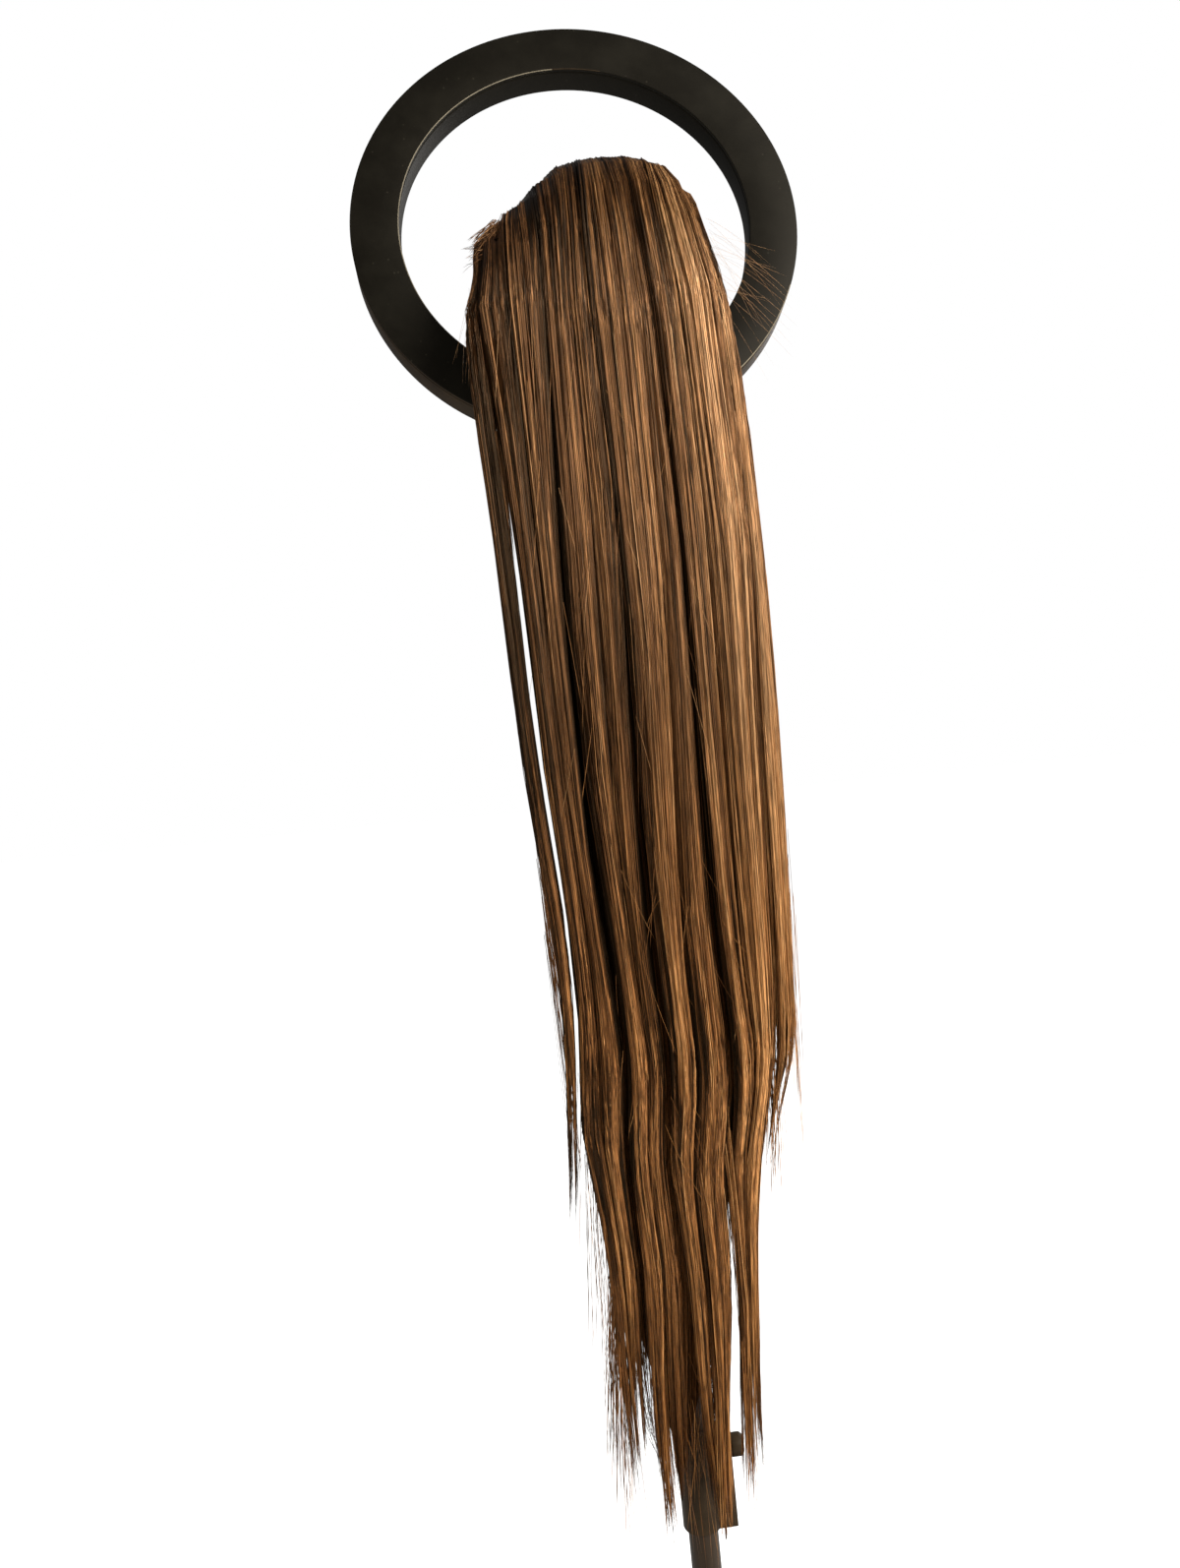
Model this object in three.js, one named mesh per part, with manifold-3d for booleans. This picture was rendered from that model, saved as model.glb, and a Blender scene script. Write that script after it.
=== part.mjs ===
// A long, straight clip-on ponytail, hung by its clip on the holder of a plain ring stand.
// The locks of hair are fused to a sewn cap, the clip grips the holder's crossbar through the cap's back,
// and the stand is a tilted ring on a telescopic pole with a clamp collar and a round foot.
// Units are millimetres and +Z is up. The origin is the middle of the foot's underside, the pole stands
// on the Z axis, and the hair hangs on the -Y side, which is the front.

import * as THREE from 'three';
import { mergeVertices } from 'three/addons/utils/BufferGeometryUtils.js';
import Module from 'manifold-3d';

const wasm = await Module();
wasm.setup();

// Driving dimensions

const FIT_GAP = 0.3;            // between pieces that touch

const RING_OUTER_R = 130;
const RING_INNER_R = 102;
const RING_THICKNESS = 17;
const RING_TILT_DEG = 10.4;     // the ring leans back, with its top further from the front
const RING_CENTRE_Z = 900;
const RING_SEAM_DEPTH = 0.8;    // groove where the face plate meets the housing
const RING_SEAM_FROM_FACE = 2.2;
const RING_CHAMFER = 0.9;
const RING_SIDES = 72;

const FOOT_R = 125;
const FOOT_THICKNESS = 12;
const FOOT_EDGE = 3;            // bevel around the foot's top edge
const BOSS_R = 17;
const BOSS_HEIGHT = 34;
const SOCKET_DEPTH = 30;        // how far the sleeve goes down into the boss

const SLEEVE_R = 8.5;           // lower tube of the pole
const POLE_R = 7;               // upper tube, which slides in the sleeve
const TUBE_WALL = 1.2;
const POLE_OVERLAP = 90;        // length of the upper tube inside the sleeve
const TUBE_SIDES = 24;

const COLLAR_BOTTOM_Z = 152.5;
const COLLAR_HEIGHT = 56;
const COLLAR_R = 11;
const COLLAR_LIP = 9;           // the collar's narrow top, above the sleeve's end
const EAR_REACH = 19.5;         // clamp ear, measured from the pole's axis
const EAR_DEPTH = 13;
const EAR_HEIGHT = 50;
const KNOB_R = 6.3;
const KNOB_LENGTH = 7.5;
const KNOB_BEVEL = 1.6;
const KNOB_ABOVE_COLLAR = 42.5; // the knob's axis above the collar's lower end

const NECK_WIDTH = 34;
const NECK_DEPTH = 20;
const NECK_BELOW_RING = 34;     // from the ring's lowest point down to the neck's lower end
const NECK_SOCKET = 18;         // how far the pole goes up into the neck
const NECK_CORNER_R = 5;

const HOLDER_POST_R = 5;
const HOLDER_Y = 5;
const HOLDER_TOP_Z = 887;
const CROSSBAR_WIDTH = 92;
const CROSSBAR_DEPTH = 10;
const CROSSBAR_HEIGHT = 14;

const CLIP_WIDTH = 70;
const CLIP_WALL = 2.4;
const CLIP_LEG = 27;            // height of the two jaws
const CLIP_TEETH = 8;
const CLIP_TOOTH_HEIGHT = 15;
const CLIP_TOOTH_SHARE = 0.55;  // of each tooth's pitch

const CROWN_Z = 922;            // the ponytail's highest point
const CAP_CENTRE_X = 6;
const CAP_BELOW_CROWN = 54;     // from the crown down to the cap's middle
const CAP_HALF_WIDTH = 50;
const CAP_HALF_HEIGHT = 49;
const CAP_DEPTH = 28;
const CAP_SIDES = 40;

const LOCK_SIDES = 9;
const LOCK_STEPS = 2;           // sections between two neighbouring levels
const CROWN_FROM_BACK = 13;     // a lock's highest point, in front of the cap's back
const CROWN_DEPTH_SHARE = 0.88; // a lock's depth on the crown, of its depth at the brow
const CROWN_FILL = 1.2;         // a lock's width on the crown, of the space between its partings
const CROWN_TO_BROW = 30;       // least drop between the two
const ROOT_FROM_BACK = 1;
const ROOT_BELOW_CROWN = 5;
const FOREHEAD_BEHIND_BROW = 6;
const FOREHEAD_BELOW_CROWN = 12;
const FOREHEAD_LEAN = 0.8;      // how much of the crown's slope across is left there
const TIP_SIZE = 1.6;           // least width and depth
const TIP_SHARE = 0.4;          // a tip's width, of the lock's last full section
const TIP_TAPER = 16;           // least drop from a lock's last full section to its tip
const TIP_BACKWARD = 2;
const NARROW_LOCK_DEPTH = 1.35; // most depth for a lock's width

// The ponytail's partings, the lines where neighbouring locks divide. Each row is one parting: its x on the
// crown, how far the crown is below its highest point there, its x at each level on the way down, and the
// width of the dark gap that opens there between the locks.
const PARTING_COLUMNS = [
  'crown', 'crownDrop', 'brow', 'shoulder', 'upper', 'middle', 'lower', 'bend', 'turn', 'swing', 'settle',
  'tail', 'ends', 'gap',
];
const PARTING_ROWS = {
  leftEdge: [-60, 44, -63, -69, -65, -61, -53, -54, -56, -58, -58, -58, -58, 0],
  slitLeft: [-54, 40, -57, -61, -57, -54, -47, -49, -51, -54, -54, -54, -54, 0],
  slitRight: [-54, 40, -58, -62, -52, -50, -43, -46, -48, -44, -40, -40, -40, 0],
  leftCheek: [-42, 31, -45, -45, -43, -41, -35, -36, -38, -36, -33, -34, -35, 1],
  leftGap: [-26, 16, -26, -27, -30, -32, -24, -22, -25, -26, -23, -27, -28, 6],
  leftFold: [-12, 5, -12, -14, -12, -16, -13, -10, -13, -15, -12, -16, -19, 0],
  midGap: [0, 2, -1, -2, 3, -3, -1, 1, -2, -4, -1, -2, -1, 7],
  midFold: [15, 1, 19, 21, 23, 21, 14, 16, 13, 8, 10, 9, 8, 1],
  rightGap: [25, 1, 28, 31, 35, 33, 33, 35, 33, 28, 28, 24, 20, 6],
  rightFold: [36, 3, 40, 44, 48, 47, 46, 48, 44, 37, 34, 31, 28, 1],
  rightCheek: [46, 9, 57, 65, 71, 66, 63, 58, 52, 46, 40, 36, 33, 1],
  rightEdge: [54, 20, 63, 72, 78, 78, 74, 69, 60, 50, 43, 38, 35, 0],
};
const PARTINGS = {};
for (const [name, row] of Object.entries(PARTING_ROWS)) {
  PARTINGS[name] = Object.fromEntries(PARTING_COLUMNS.map((column, i) => [column, row[i]]));
}

// The levels on the way down: drop below the crown, y of the front locks' middle, their depth front to back,
// how far the gaps are open, and a lock's width as a share of the space that is left for it.
const LEVELS = [
  { name: 'brow', drop: 50, y: -31, depth: 24, open: 0, fill: 1.16 },
  { name: 'shoulder', drop: 95, y: -36, depth: 22, open: 0.2, fill: 1.16 },
  { name: 'upper', drop: 210, y: -36, depth: 20, open: 0.5, fill: 1.12 },
  { name: 'middle', drop: 330, y: -35, depth: 19, open: 0.9, fill: 1.08 },
  { name: 'lower', drop: 440, y: -34, depth: 18, open: 1, fill: 1.08 },
  { name: 'bend', drop: 497, y: -37, depth: 17, open: 1, fill: 1.08 },
  { name: 'turn', drop: 528, y: -36, depth: 16, open: 1, fill: 1.06 },
  { name: 'swing', drop: 562, y: -32, depth: 14, open: 1, fill: 1.06 },
  { name: 'settle', drop: 612, y: -31, depth: 12, open: 1, fill: 1.06 },
  { name: 'tail', drop: 664, y: -30, depth: 10, open: 1.2, fill: 1 },
  { name: 'ends', drop: 708, y: -29, depth: 7, open: 1.3, fill: 0.8 },
];

// The locks, each between two partings, with the place of its tip.
const LOCKS = [
  { left: 'leftEdge', right: 'slitLeft', tipX: -59, tipDrop: 590 },
  { left: 'slitRight', right: 'leftCheek', tipX: -36, tipDrop: 719 },
  { left: 'leftCheek', right: 'leftGap', tipX: -31, tipDrop: 722 },
  { left: 'leftGap', right: 'leftFold', tipX: -19, tipDrop: 756 },
  { left: 'leftFold', right: 'midGap', tipX: -13, tipDrop: 738 },
  { left: 'midGap', right: 'midFold', tipX: 7, tipDrop: 752 },
  { left: 'midFold', right: 'rightGap', tipX: 9, tipDrop: 762 },
  { left: 'rightGap', right: 'rightFold', tipX: 24, tipDrop: 737 },
  { left: 'rightFold', right: 'rightCheek', tipX: 31, tipDrop: 730 },
  { left: 'rightCheek', right: 'rightEdge', tipX: 50, tipDrop: 560 },
];

// Behind the front locks hang two broad ones, which they are fused to. `behind` is how far their middle is
// behind the front locks' middle, and `depthShare` is their depth, of a front lock's.
const BACK_LOCKS = [
  { left: 'leftCheek', right: 'rightGap', tipX: -8, tipDrop: 736, behind: 8, depthShare: 1.1, sides: 18 },
  { left: 'midFold', right: 'rightCheek', tipX: 34, tipDrop: 590, behind: 7, depthShare: 0.9, sides: 14 },
];

// Finishes

function finish(color, roughness, metalness = 0) {
  return new THREE.MeshStandardMaterial({ color, roughness, metalness });
}

const HAIR_BROWN = finish('#6e4b2d', 0.5);
const CLIP_PLASTIC = finish('#2c1e14', 0.4);
const RING_PLASTIC = finish('#1d1b17', 0.6);
const POLE_PAINT = finish('#24211d', 0.45, 0.3);
const FOOT_PAINT = finish('#1f1d1a', 0.55, 0.2);

// Joining and cutting

function solidOf(geometry) {
  const bare = geometry.clone();
  bare.deleteAttribute('normal');
  bare.deleteAttribute('uv');
  const merged = mergeVertices(bare, 1e-4);
  const vertProperties = new Float32Array(merged.attributes.position.array);
  const triVerts = new Uint32Array(merged.index.array);
  return new wasm.Manifold(new wasm.Mesh({ numProp: 3, vertProperties, triVerts }));
}

function geometryOf(solid) {
  const mesh = solid.getMesh();
  const geometry = new THREE.BufferGeometry();
  geometry.setAttribute('position', new THREE.BufferAttribute(new Float32Array(mesh.vertProperties), 3));
  geometry.setIndex(new THREE.BufferAttribute(new Uint32Array(mesh.triVerts), 1));
  geometry.computeVertexNormals();
  return geometry;
}

// Turned and plain shapes, with their axis along Z

function turned(profile, sides) {
  const points = [...profile, profile[0]].map(([radius, height]) => new THREE.Vector2(radius, height));
  return new THREE.LatheGeometry(points, sides).rotateX(Math.PI / 2);
}

function tube(outerR, innerR, bottomZ, topZ) {
  return turned([[innerR, bottomZ], [outerR, bottomZ], [outerR, topZ], [innerR, topZ]], TUBE_SIDES);
}

function rod(radius, bottomZ, topZ, sides = TUBE_SIDES) {
  const height = topZ - bottomZ;
  return new THREE.CylinderGeometry(radius, radius, height, sides).rotateX(Math.PI / 2)
    .translate(0, 0, bottomZ + height / 2);
}

function block(width, depth, bottomZ, topZ, x = 0, y = 0) {
  return new THREE.BoxGeometry(width, depth, topZ - bottomZ).translate(x, y, (bottomZ + topZ) / 2);
}

// The ponytail

const CAP_BACK_Y = HOLDER_Y - CROSSBAR_DEPTH / 2 - FIT_GAP - CLIP_WALL - FIT_GAP;
const CAP_CENTRE_Z = CROWN_Z - CAP_BELOW_CROWN;

function capSolid() {
  const outline = new THREE.Shape();
  outline.absellipse(CAP_CENTRE_X, CAP_CENTRE_Z, CAP_HALF_WIDTH, CAP_HALF_HEIGHT, 0, 2 * Math.PI);
  const thickness = { depth: CAP_DEPTH, bevelEnabled: false, curveSegments: CAP_SIDES };
  const plate = new THREE.ExtrudeGeometry(outline, thickness);
  return solidOf(plate.rotateX(Math.PI / 2).translate(0, CAP_BACK_Y, 0));
}

// The stations of a hanging lock from its brow down, each with its place, width and depth.
function hangingStations({ left, right, tipDrop, behind = 0, depthShare = 1 }) {
  const [a, b] = [PARTINGS[left], PARTINGS[right]];
  const levels = LEVELS.filter(({ drop }) => drop < tipDrop - TIP_TAPER);
  return levels.map((level) => {
    const leftEdge = a[level.name] + (a.gap * level.open) / 2;
    const rightEdge = b[level.name] - (b.gap * level.open) / 2;
    const width = (rightEdge - leftEdge) * level.fill;
    return {
      x: (leftEdge + rightEdge) / 2,
      y: level.y + behind,
      drop: level.drop,
      width,
      depth: Math.min(level.depth * depthShare, width * NARROW_LOCK_DEPTH),
      lean: 0,
    };
  });
}

// A front lock comes from the cap's back, over the crown, to the brow. On the crown its section leans with
// the crown's own slope, so that neighbouring locks meet there in one smooth line.
function overCrown({ left, right }, brow) {
  const [a, b] = [PARTINGS[left], PARTINGS[right]];
  const lean = (a.crownDrop - b.crownDrop) / (b.crown - a.crown);
  const slope = Math.hypot(1, lean);
  const width = (b.crown - a.crown) * slope * CROWN_FILL;
  const depth = brow.depth * CROWN_DEPTH_SHARE;
  const x = (a.crown + b.crown + (depth * lean) / slope) / 2;
  const drop = (a.crownDrop + b.crownDrop + depth / slope) / 2;
  const crown = { x, y: CAP_BACK_Y - CROWN_FROM_BACK, drop, width, depth, lean };
  const root = { ...crown, y: CAP_BACK_Y - ROOT_FROM_BACK, drop: drop + ROOT_BELOW_CROWN };
  const forehead = {
    x: (x + brow.x) / 2,
    y: brow.y + FOREHEAD_BEHIND_BROW,
    drop: drop + FOREHEAD_BELOW_CROWN,
    width: (width + brow.width) / 2,
    depth: brow.depth,
    lean: lean * FOREHEAD_LEAN,
  };
  return [root, crown, forehead, { ...brow, drop: Math.max(brow.drop, drop + CROWN_TO_BROW) }];
}

function withTip(stations, { tipX, tipDrop }) {
  const last = stations.at(-1);
  const width = Math.max(last.width * TIP_SHARE, TIP_SIZE);
  const tip = { x: tipX, y: last.y + TIP_BACKWARD, drop: tipDrop, width, depth: TIP_SIZE, lean: 0 };
  return [...stations, tip];
}

// A lock is a closed cylinder whose rings of points are moved onto the sections along the lock's path.
function lockSolid(stations, sides) {
  const places = stations.map(({ x, y, drop }) => new THREE.Vector3(x, y, CROWN_Z - drop));
  const halves = stations.map(({ width, depth, lean }) => new THREE.Vector3(width / 2, depth / 2, lean));
  const path = new THREE.CatmullRomCurve3(places);
  const sizes = new THREE.CatmullRomCurve3(halves);
  const geometry = new THREE.CylinderGeometry(1, 1, 1, sides, (stations.length - 1) * LOCK_STEPS);
  const position = geometry.attributes.position;
  const across = new THREE.Vector3();
  const outward = new THREE.Vector3();
  for (let i = 0; i < position.count; i += 1) {
    const along = THREE.MathUtils.clamp(0.5 - position.getY(i), 0, 1);
    const point = path.getPoint(along);
    const tangent = path.getTangent(along);
    const size = sizes.getPoint(along);
    across.set(1, 0, size.z).normalize();
    across.addScaledVector(tangent, -across.dot(tangent)).normalize();
    outward.crossVectors(tangent, across);
    point.addScaledVector(across, position.getX(i) * Math.max(size.x, TIP_SIZE / 2));
    point.addScaledVector(outward, position.getZ(i) * Math.max(size.y, TIP_SIZE / 2));
    position.setXYZ(i, point.x, point.y, point.z);
  }
  return solidOf(geometry);
}

function frontLock(lock) {
  const [brow, ...below] = hangingStations(lock);
  return lockSolid(withTip([...overCrown(lock, brow), ...below], lock), LOCK_SIDES);
}

function backLock(lock) {
  return lockSolid(withTip(hangingStations(lock), lock), lock.sides);
}

function hairGeometry() {
  const locks = [...BACK_LOCKS.map(backLock), ...LOCKS.map(frontLock)];
  const fused = locks.reduce((whole, lock) => whole.add(lock), capSolid());
  const reach = 2 * (CAP_HALF_WIDTH + CAP_HALF_HEIGHT);
  const behindCap = block(reach, reach, CROWN_Z - reach / 2, CROWN_Z + reach / 2, 0, CAP_BACK_Y + reach / 2);
  return geometryOf(fused.subtract(solidOf(behindCap)));
}

// The clip is an upside-down channel over the crossbar, and its back jaw is cut into teeth.
function clipGeometry() {
  const inside = CROSSBAR_DEPTH + 2 * FIT_GAP;
  const outside = inside + 2 * CLIP_WALL;
  const underside = HOLDER_TOP_Z + FIT_GAP;
  const top = underside + CLIP_WALL;
  const bottom = top - CLIP_LEG;
  const channel = solidOf(block(CLIP_WIDTH, outside, bottom, top, 0, HOLDER_Y));
  const slot = solidOf(block(CLIP_WIDTH * 2, inside, bottom - CLIP_LEG, underside, 0, HOLDER_Y));
  const pitch = CLIP_WIDTH / CLIP_TEETH;
  const backJawY = HOLDER_Y + (inside + CLIP_WALL) / 2;
  let clip = channel.subtract(slot);
  for (let i = 1; i < CLIP_TEETH; i += 1) {
    const x = -CLIP_WIDTH / 2 + i * pitch;
    const gap = pitch * (1 - CLIP_TOOTH_SHARE);
    const cut = block(gap, CLIP_WALL * 2, bottom - 1, bottom + CLIP_TOOTH_HEIGHT, x, backJawY);
    clip = clip.subtract(solidOf(cut));
  }
  return geometryOf(clip);
}

// The stand, from the ring down to the foot

const RING_TILT = THREE.MathUtils.degToRad(RING_TILT_DEG);
const RING_CENTRE_Y = RING_OUTER_R * Math.sin(RING_TILT);   // puts the ring's lowest point over the pole
const RING_BOTTOM_Z = RING_CENTRE_Z - RING_OUTER_R * Math.cos(RING_TILT);

// Sets a shape made around the Z axis into the tilted ring's place.
function inRingPlace(geometry) {
  return geometry.rotateX(Math.PI / 2 - RING_TILT).translate(0, RING_CENTRE_Y, RING_CENTRE_Z);
}

function ringGeometry() {
  const half = RING_THICKNESS / 2;
  const seam = half - RING_SEAM_FROM_FACE;
  const wall = (radius, into) => [
    [radius, -half + RING_CHAMFER],
    [radius, seam - RING_SEAM_DEPTH],
    [radius + into * RING_SEAM_DEPTH, seam],
    [radius, seam + RING_SEAM_DEPTH],
    [radius, half - RING_CHAMFER],
  ];
  const face = (height) => [
    [RING_OUTER_R - RING_CHAMFER, height],
    [RING_INNER_R + RING_CHAMFER, height],
  ];
  const outside = [...wall(RING_OUTER_R, -1), ...face(half)];
  const inside = [...wall(RING_INNER_R, 1).reverse(), ...face(-half).reverse()];
  return inRingPlace(turned([...outside, ...inside], RING_SIDES));
}

// The holder: a post on the ring's inner wall with a crossbar on top.
function holderGeometry() {
  const wallZ = RING_CENTRE_Z - RING_INNER_R * Math.cos(RING_TILT);
  const postBottom = wallZ + HOLDER_POST_R * Math.tan(RING_TILT) + FIT_GAP;
  const barBottom = HOLDER_TOP_Z - CROSSBAR_HEIGHT;
  const post = rod(HOLDER_POST_R, postBottom, barBottom + CROSSBAR_HEIGHT / 2).translate(0, HOLDER_Y, 0);
  const bar = block(CROSSBAR_WIDTH, CROSSBAR_DEPTH, barBottom, HOLDER_TOP_Z, 0, HOLDER_Y);
  return geometryOf(solidOf(bar).add(solidOf(post)));
}

const NECK_BOTTOM_Z = RING_BOTTOM_Z - NECK_BELOW_RING;
const POLE_TOP_Z = NECK_BOTTOM_Z + NECK_SOCKET - FIT_GAP;

// The neck: a block with round corners, hollowed to the ring above and to the pole below.
function neckGeometry() {
  const outline = new THREE.Shape();
  const [x, y, r] = [NECK_WIDTH / 2, NECK_DEPTH / 2, NECK_CORNER_R];
  outline.moveTo(-x + r, -y).lineTo(x - r, -y);
  outline.absarc(x - r, -y + r, r, -Math.PI / 2, 0).absarc(x - r, y - r, r, 0, Math.PI / 2);
  outline.absarc(-x + r, y - r, r, Math.PI / 2, Math.PI).absarc(-x + r, -y + r, r, Math.PI, Math.PI * 1.5);
  const height = NECK_BELOW_RING + NECK_DEPTH / 2;
  const body = new THREE.ExtrudeGeometry(outline, { depth: height, bevelEnabled: false, curveSegments: 4 });
  const ringSpace = inRingPlace(rod(RING_OUTER_R + FIT_GAP, -NECK_WIDTH, NECK_WIDTH, RING_SIDES));
  const poleSpace = rod(POLE_R + FIT_GAP, NECK_BOTTOM_Z - 1, NECK_BOTTOM_Z + NECK_SOCKET);
  const neck = solidOf(body.translate(0, 0, NECK_BOTTOM_Z));
  return geometryOf(neck.subtract(solidOf(ringSpace)).subtract(solidOf(poleSpace)));
}

const COLLAR_TOP_Z = COLLAR_BOTTOM_Z + COLLAR_HEIGHT;
const SLEEVE_TOP_Z = COLLAR_TOP_Z - COLLAR_LIP;
const SLEEVE_BOTTOM_Z = BOSS_HEIGHT + FOOT_THICKNESS - SOCKET_DEPTH + FIT_GAP;
const POLE_BOTTOM_Z = SLEEVE_TOP_Z - POLE_OVERLAP;

function collarGeometry() {
  const ear = block(EAR_REACH, EAR_DEPTH, COLLAR_BOTTOM_Z, COLLAR_BOTTOM_Z + EAR_HEIGHT, EAR_REACH / 2);
  const body = solidOf(rod(COLLAR_R, COLLAR_BOTTOM_Z, COLLAR_TOP_Z)).add(solidOf(ear));
  const sleeveSpace = solidOf(rod(SLEEVE_R + FIT_GAP, COLLAR_BOTTOM_Z - 1, SLEEVE_TOP_Z + FIT_GAP));
  const poleSpace = solidOf(rod(POLE_R + FIT_GAP, COLLAR_BOTTOM_Z, COLLAR_TOP_Z + 1));
  return geometryOf(body.subtract(sleeveSpace).subtract(poleSpace));
}

function knobGeometry() {
  const profile = [
    [0, 0],
    [KNOB_R, 0],
    [KNOB_R, KNOB_LENGTH - KNOB_BEVEL],
    [KNOB_R - KNOB_BEVEL, KNOB_LENGTH],
    [0, KNOB_LENGTH],
  ];
  const points = profile.map(([radius, height]) => new THREE.Vector2(radius, height));
  return new THREE.LatheGeometry(points, TUBE_SIDES).rotateZ(-Math.PI / 2)
    .translate(EAR_REACH + FIT_GAP, 0, COLLAR_BOTTOM_Z + KNOB_ABOVE_COLLAR);
}

function footGeometry() {
  const socketR = SLEEVE_R + FIT_GAP;
  const bossTop = FOOT_THICKNESS + BOSS_HEIGHT;
  const profile = [
    [0, 0],
    [FOOT_R, 0],
    [FOOT_R, FOOT_THICKNESS - FOOT_EDGE],
    [FOOT_R - FOOT_EDGE, FOOT_THICKNESS],
    [BOSS_R, FOOT_THICKNESS],
    [BOSS_R, bossTop],
    [socketR, bossTop],
    [socketR, bossTop - SOCKET_DEPTH],
    [0, bossTop - SOCKET_DEPTH],
  ];
  const points = profile.map(([radius, height]) => new THREE.Vector2(radius, height));
  return new THREE.LatheGeometry(points, RING_SIDES).rotateX(Math.PI / 2);
}

// The assembly

function piece(name, geometry, material) {
  const mesh = new THREE.Mesh(geometry, material);
  mesh.name = name;
  return mesh;
}

const ponytail = new THREE.Group();
ponytail.add(
  piece('hair', hairGeometry(), HAIR_BROWN),
  piece('clip', clipGeometry(), CLIP_PLASTIC),
);

const stand = new THREE.Group();
stand.add(
  piece('stand_ring', ringGeometry(), RING_PLASTIC),
  piece('stand_holder', holderGeometry(), RING_PLASTIC),
  piece('stand_neck', neckGeometry(), RING_PLASTIC),
  piece('stand_pole', tube(POLE_R, POLE_R - TUBE_WALL, POLE_BOTTOM_Z, POLE_TOP_Z), POLE_PAINT),
  piece('stand_collar', collarGeometry(), RING_PLASTIC),
  piece('stand_knob', knobGeometry(), RING_PLASTIC),
  piece('stand_sleeve', tube(SLEEVE_R, POLE_R + FIT_GAP, SLEEVE_BOTTOM_Z, SLEEVE_TOP_Z), POLE_PAINT),
  piece('stand_foot', footGeometry(), FOOT_PAINT),
);

const assembly = new THREE.Group();
assembly.add(ponytail, stand);

export default assembly;
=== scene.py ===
import math

import bmesh
import bpy
import numpy as np
from mathutils import Matrix, Vector


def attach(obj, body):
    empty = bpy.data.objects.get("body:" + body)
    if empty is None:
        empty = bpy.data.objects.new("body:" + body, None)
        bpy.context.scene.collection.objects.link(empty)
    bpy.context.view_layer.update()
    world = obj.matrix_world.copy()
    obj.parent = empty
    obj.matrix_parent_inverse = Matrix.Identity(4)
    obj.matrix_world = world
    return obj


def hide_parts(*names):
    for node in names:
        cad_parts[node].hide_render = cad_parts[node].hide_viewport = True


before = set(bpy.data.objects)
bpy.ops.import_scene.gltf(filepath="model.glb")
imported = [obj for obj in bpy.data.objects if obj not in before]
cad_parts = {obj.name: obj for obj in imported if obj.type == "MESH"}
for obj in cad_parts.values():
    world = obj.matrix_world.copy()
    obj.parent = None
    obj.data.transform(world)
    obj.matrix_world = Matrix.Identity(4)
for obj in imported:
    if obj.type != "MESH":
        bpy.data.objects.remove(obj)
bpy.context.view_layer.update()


# The studio: a level camera a little to the left of the stand and as high as the middle of the pole,
# held with a slight roll, before a white sweep. A large soft light stands to the right.

MM = 0.001
CAMERA_PLACE = Vector((-72.8, -665.9, 576.4)) * MM
CAMERA_HEADING = math.radians(4.2)
CAMERA_ROLL = math.radians(5.45)
CAMERA_LENS = 27.1
CAMERA_CLIP = 20 * MM

ahead = Vector((math.sin(CAMERA_HEADING), math.cos(CAMERA_HEADING), 0))
level = Vector((math.cos(CAMERA_HEADING), -math.sin(CAMERA_HEADING), 0))
upward = Vector((0, 0, 1))
camera_right = level * math.cos(CAMERA_ROLL) - upward * math.sin(CAMERA_ROLL)
camera_up = level * math.sin(CAMERA_ROLL) + upward * math.cos(CAMERA_ROLL)

camera = bpy.data.objects.new("camera", bpy.data.cameras.new("camera"))
camera.data.lens = CAMERA_LENS
camera.data.clip_start = CAMERA_CLIP
camera.matrix_world = Matrix((camera_right, camera_up, -ahead)).transposed().to_4x4()
camera.location = CAMERA_PLACE
bpy.context.scene.collection.objects.link(camera)
bpy.context.scene.camera = camera


def linear(hex_colour):
    """A colour for a shader socket from an sRGB hex value."""
    shares = [int(hex_colour[i:i + 2], 16) / 255 for i in (1, 3, 5)]
    return (*[s / 12.92 if s <= 0.04045 else ((s + 0.055) / 1.055) ** 2.4 for s in shares], 1.0)


def add_node(tree, kind, inputs=None, **settings):
    """Adds a node with its settings, and sets or links its inputs."""
    node = tree.nodes.new(kind)
    for name, value in settings.items():
        setattr(node, name, value)
    for name, value in (inputs or {}).items():
        if isinstance(value, bpy.types.NodeSocket):
            tree.links.new(value, node.inputs[name])
        else:
            node.inputs[name].default_value = value
    return node


def new_material(name):
    """A material with its node tree and its Principled shader."""
    material = bpy.data.materials.new(name)
    material.use_nodes = True
    return material, material.node_tree, material.node_tree.nodes["Principled BSDF"]


SKY_SEEN = 1.0
SKY_LIGHT = 0.22

world = bpy.data.worlds.new("white_sweep")
world.use_nodes = True
sky = world.node_tree
sky.nodes.clear()
seen = add_node(sky, "ShaderNodeLightPath").outputs["Is Camera Ray"]
strength = add_node(sky, "ShaderNodeMapRange", {"Value": seen, "To Min": SKY_LIGHT, "To Max": SKY_SEEN})
white = {"Color": linear("#ffffff"), "Strength": strength.outputs[0]}
background = add_node(sky, "ShaderNodeBackground", white)
add_node(sky, "ShaderNodeOutputWorld", {"Surface": background.outputs[0]})
bpy.context.scene.world = world
bpy.context.scene.view_settings.view_transform = "Standard"

FLOOR_HALF = 30.0
FLOOR_GLOW = 0.85

paper, tree, shader = new_material("white_paper")
shader.inputs["Base Color"].default_value = linear("#e9e9e7")
shader.inputs["Roughness"].default_value = 0.9
shader.inputs["Emission Color"].default_value = linear("#ffffff")
seen = add_node(tree, "ShaderNodeLightPath").outputs["Is Camera Ray"]
glow = add_node(tree, "ShaderNodeMath", {0: seen, 1: FLOOR_GLOW}, operation="MULTIPLY")
tree.links.new(glow.outputs[0], shader.inputs["Emission Strength"])

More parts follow.
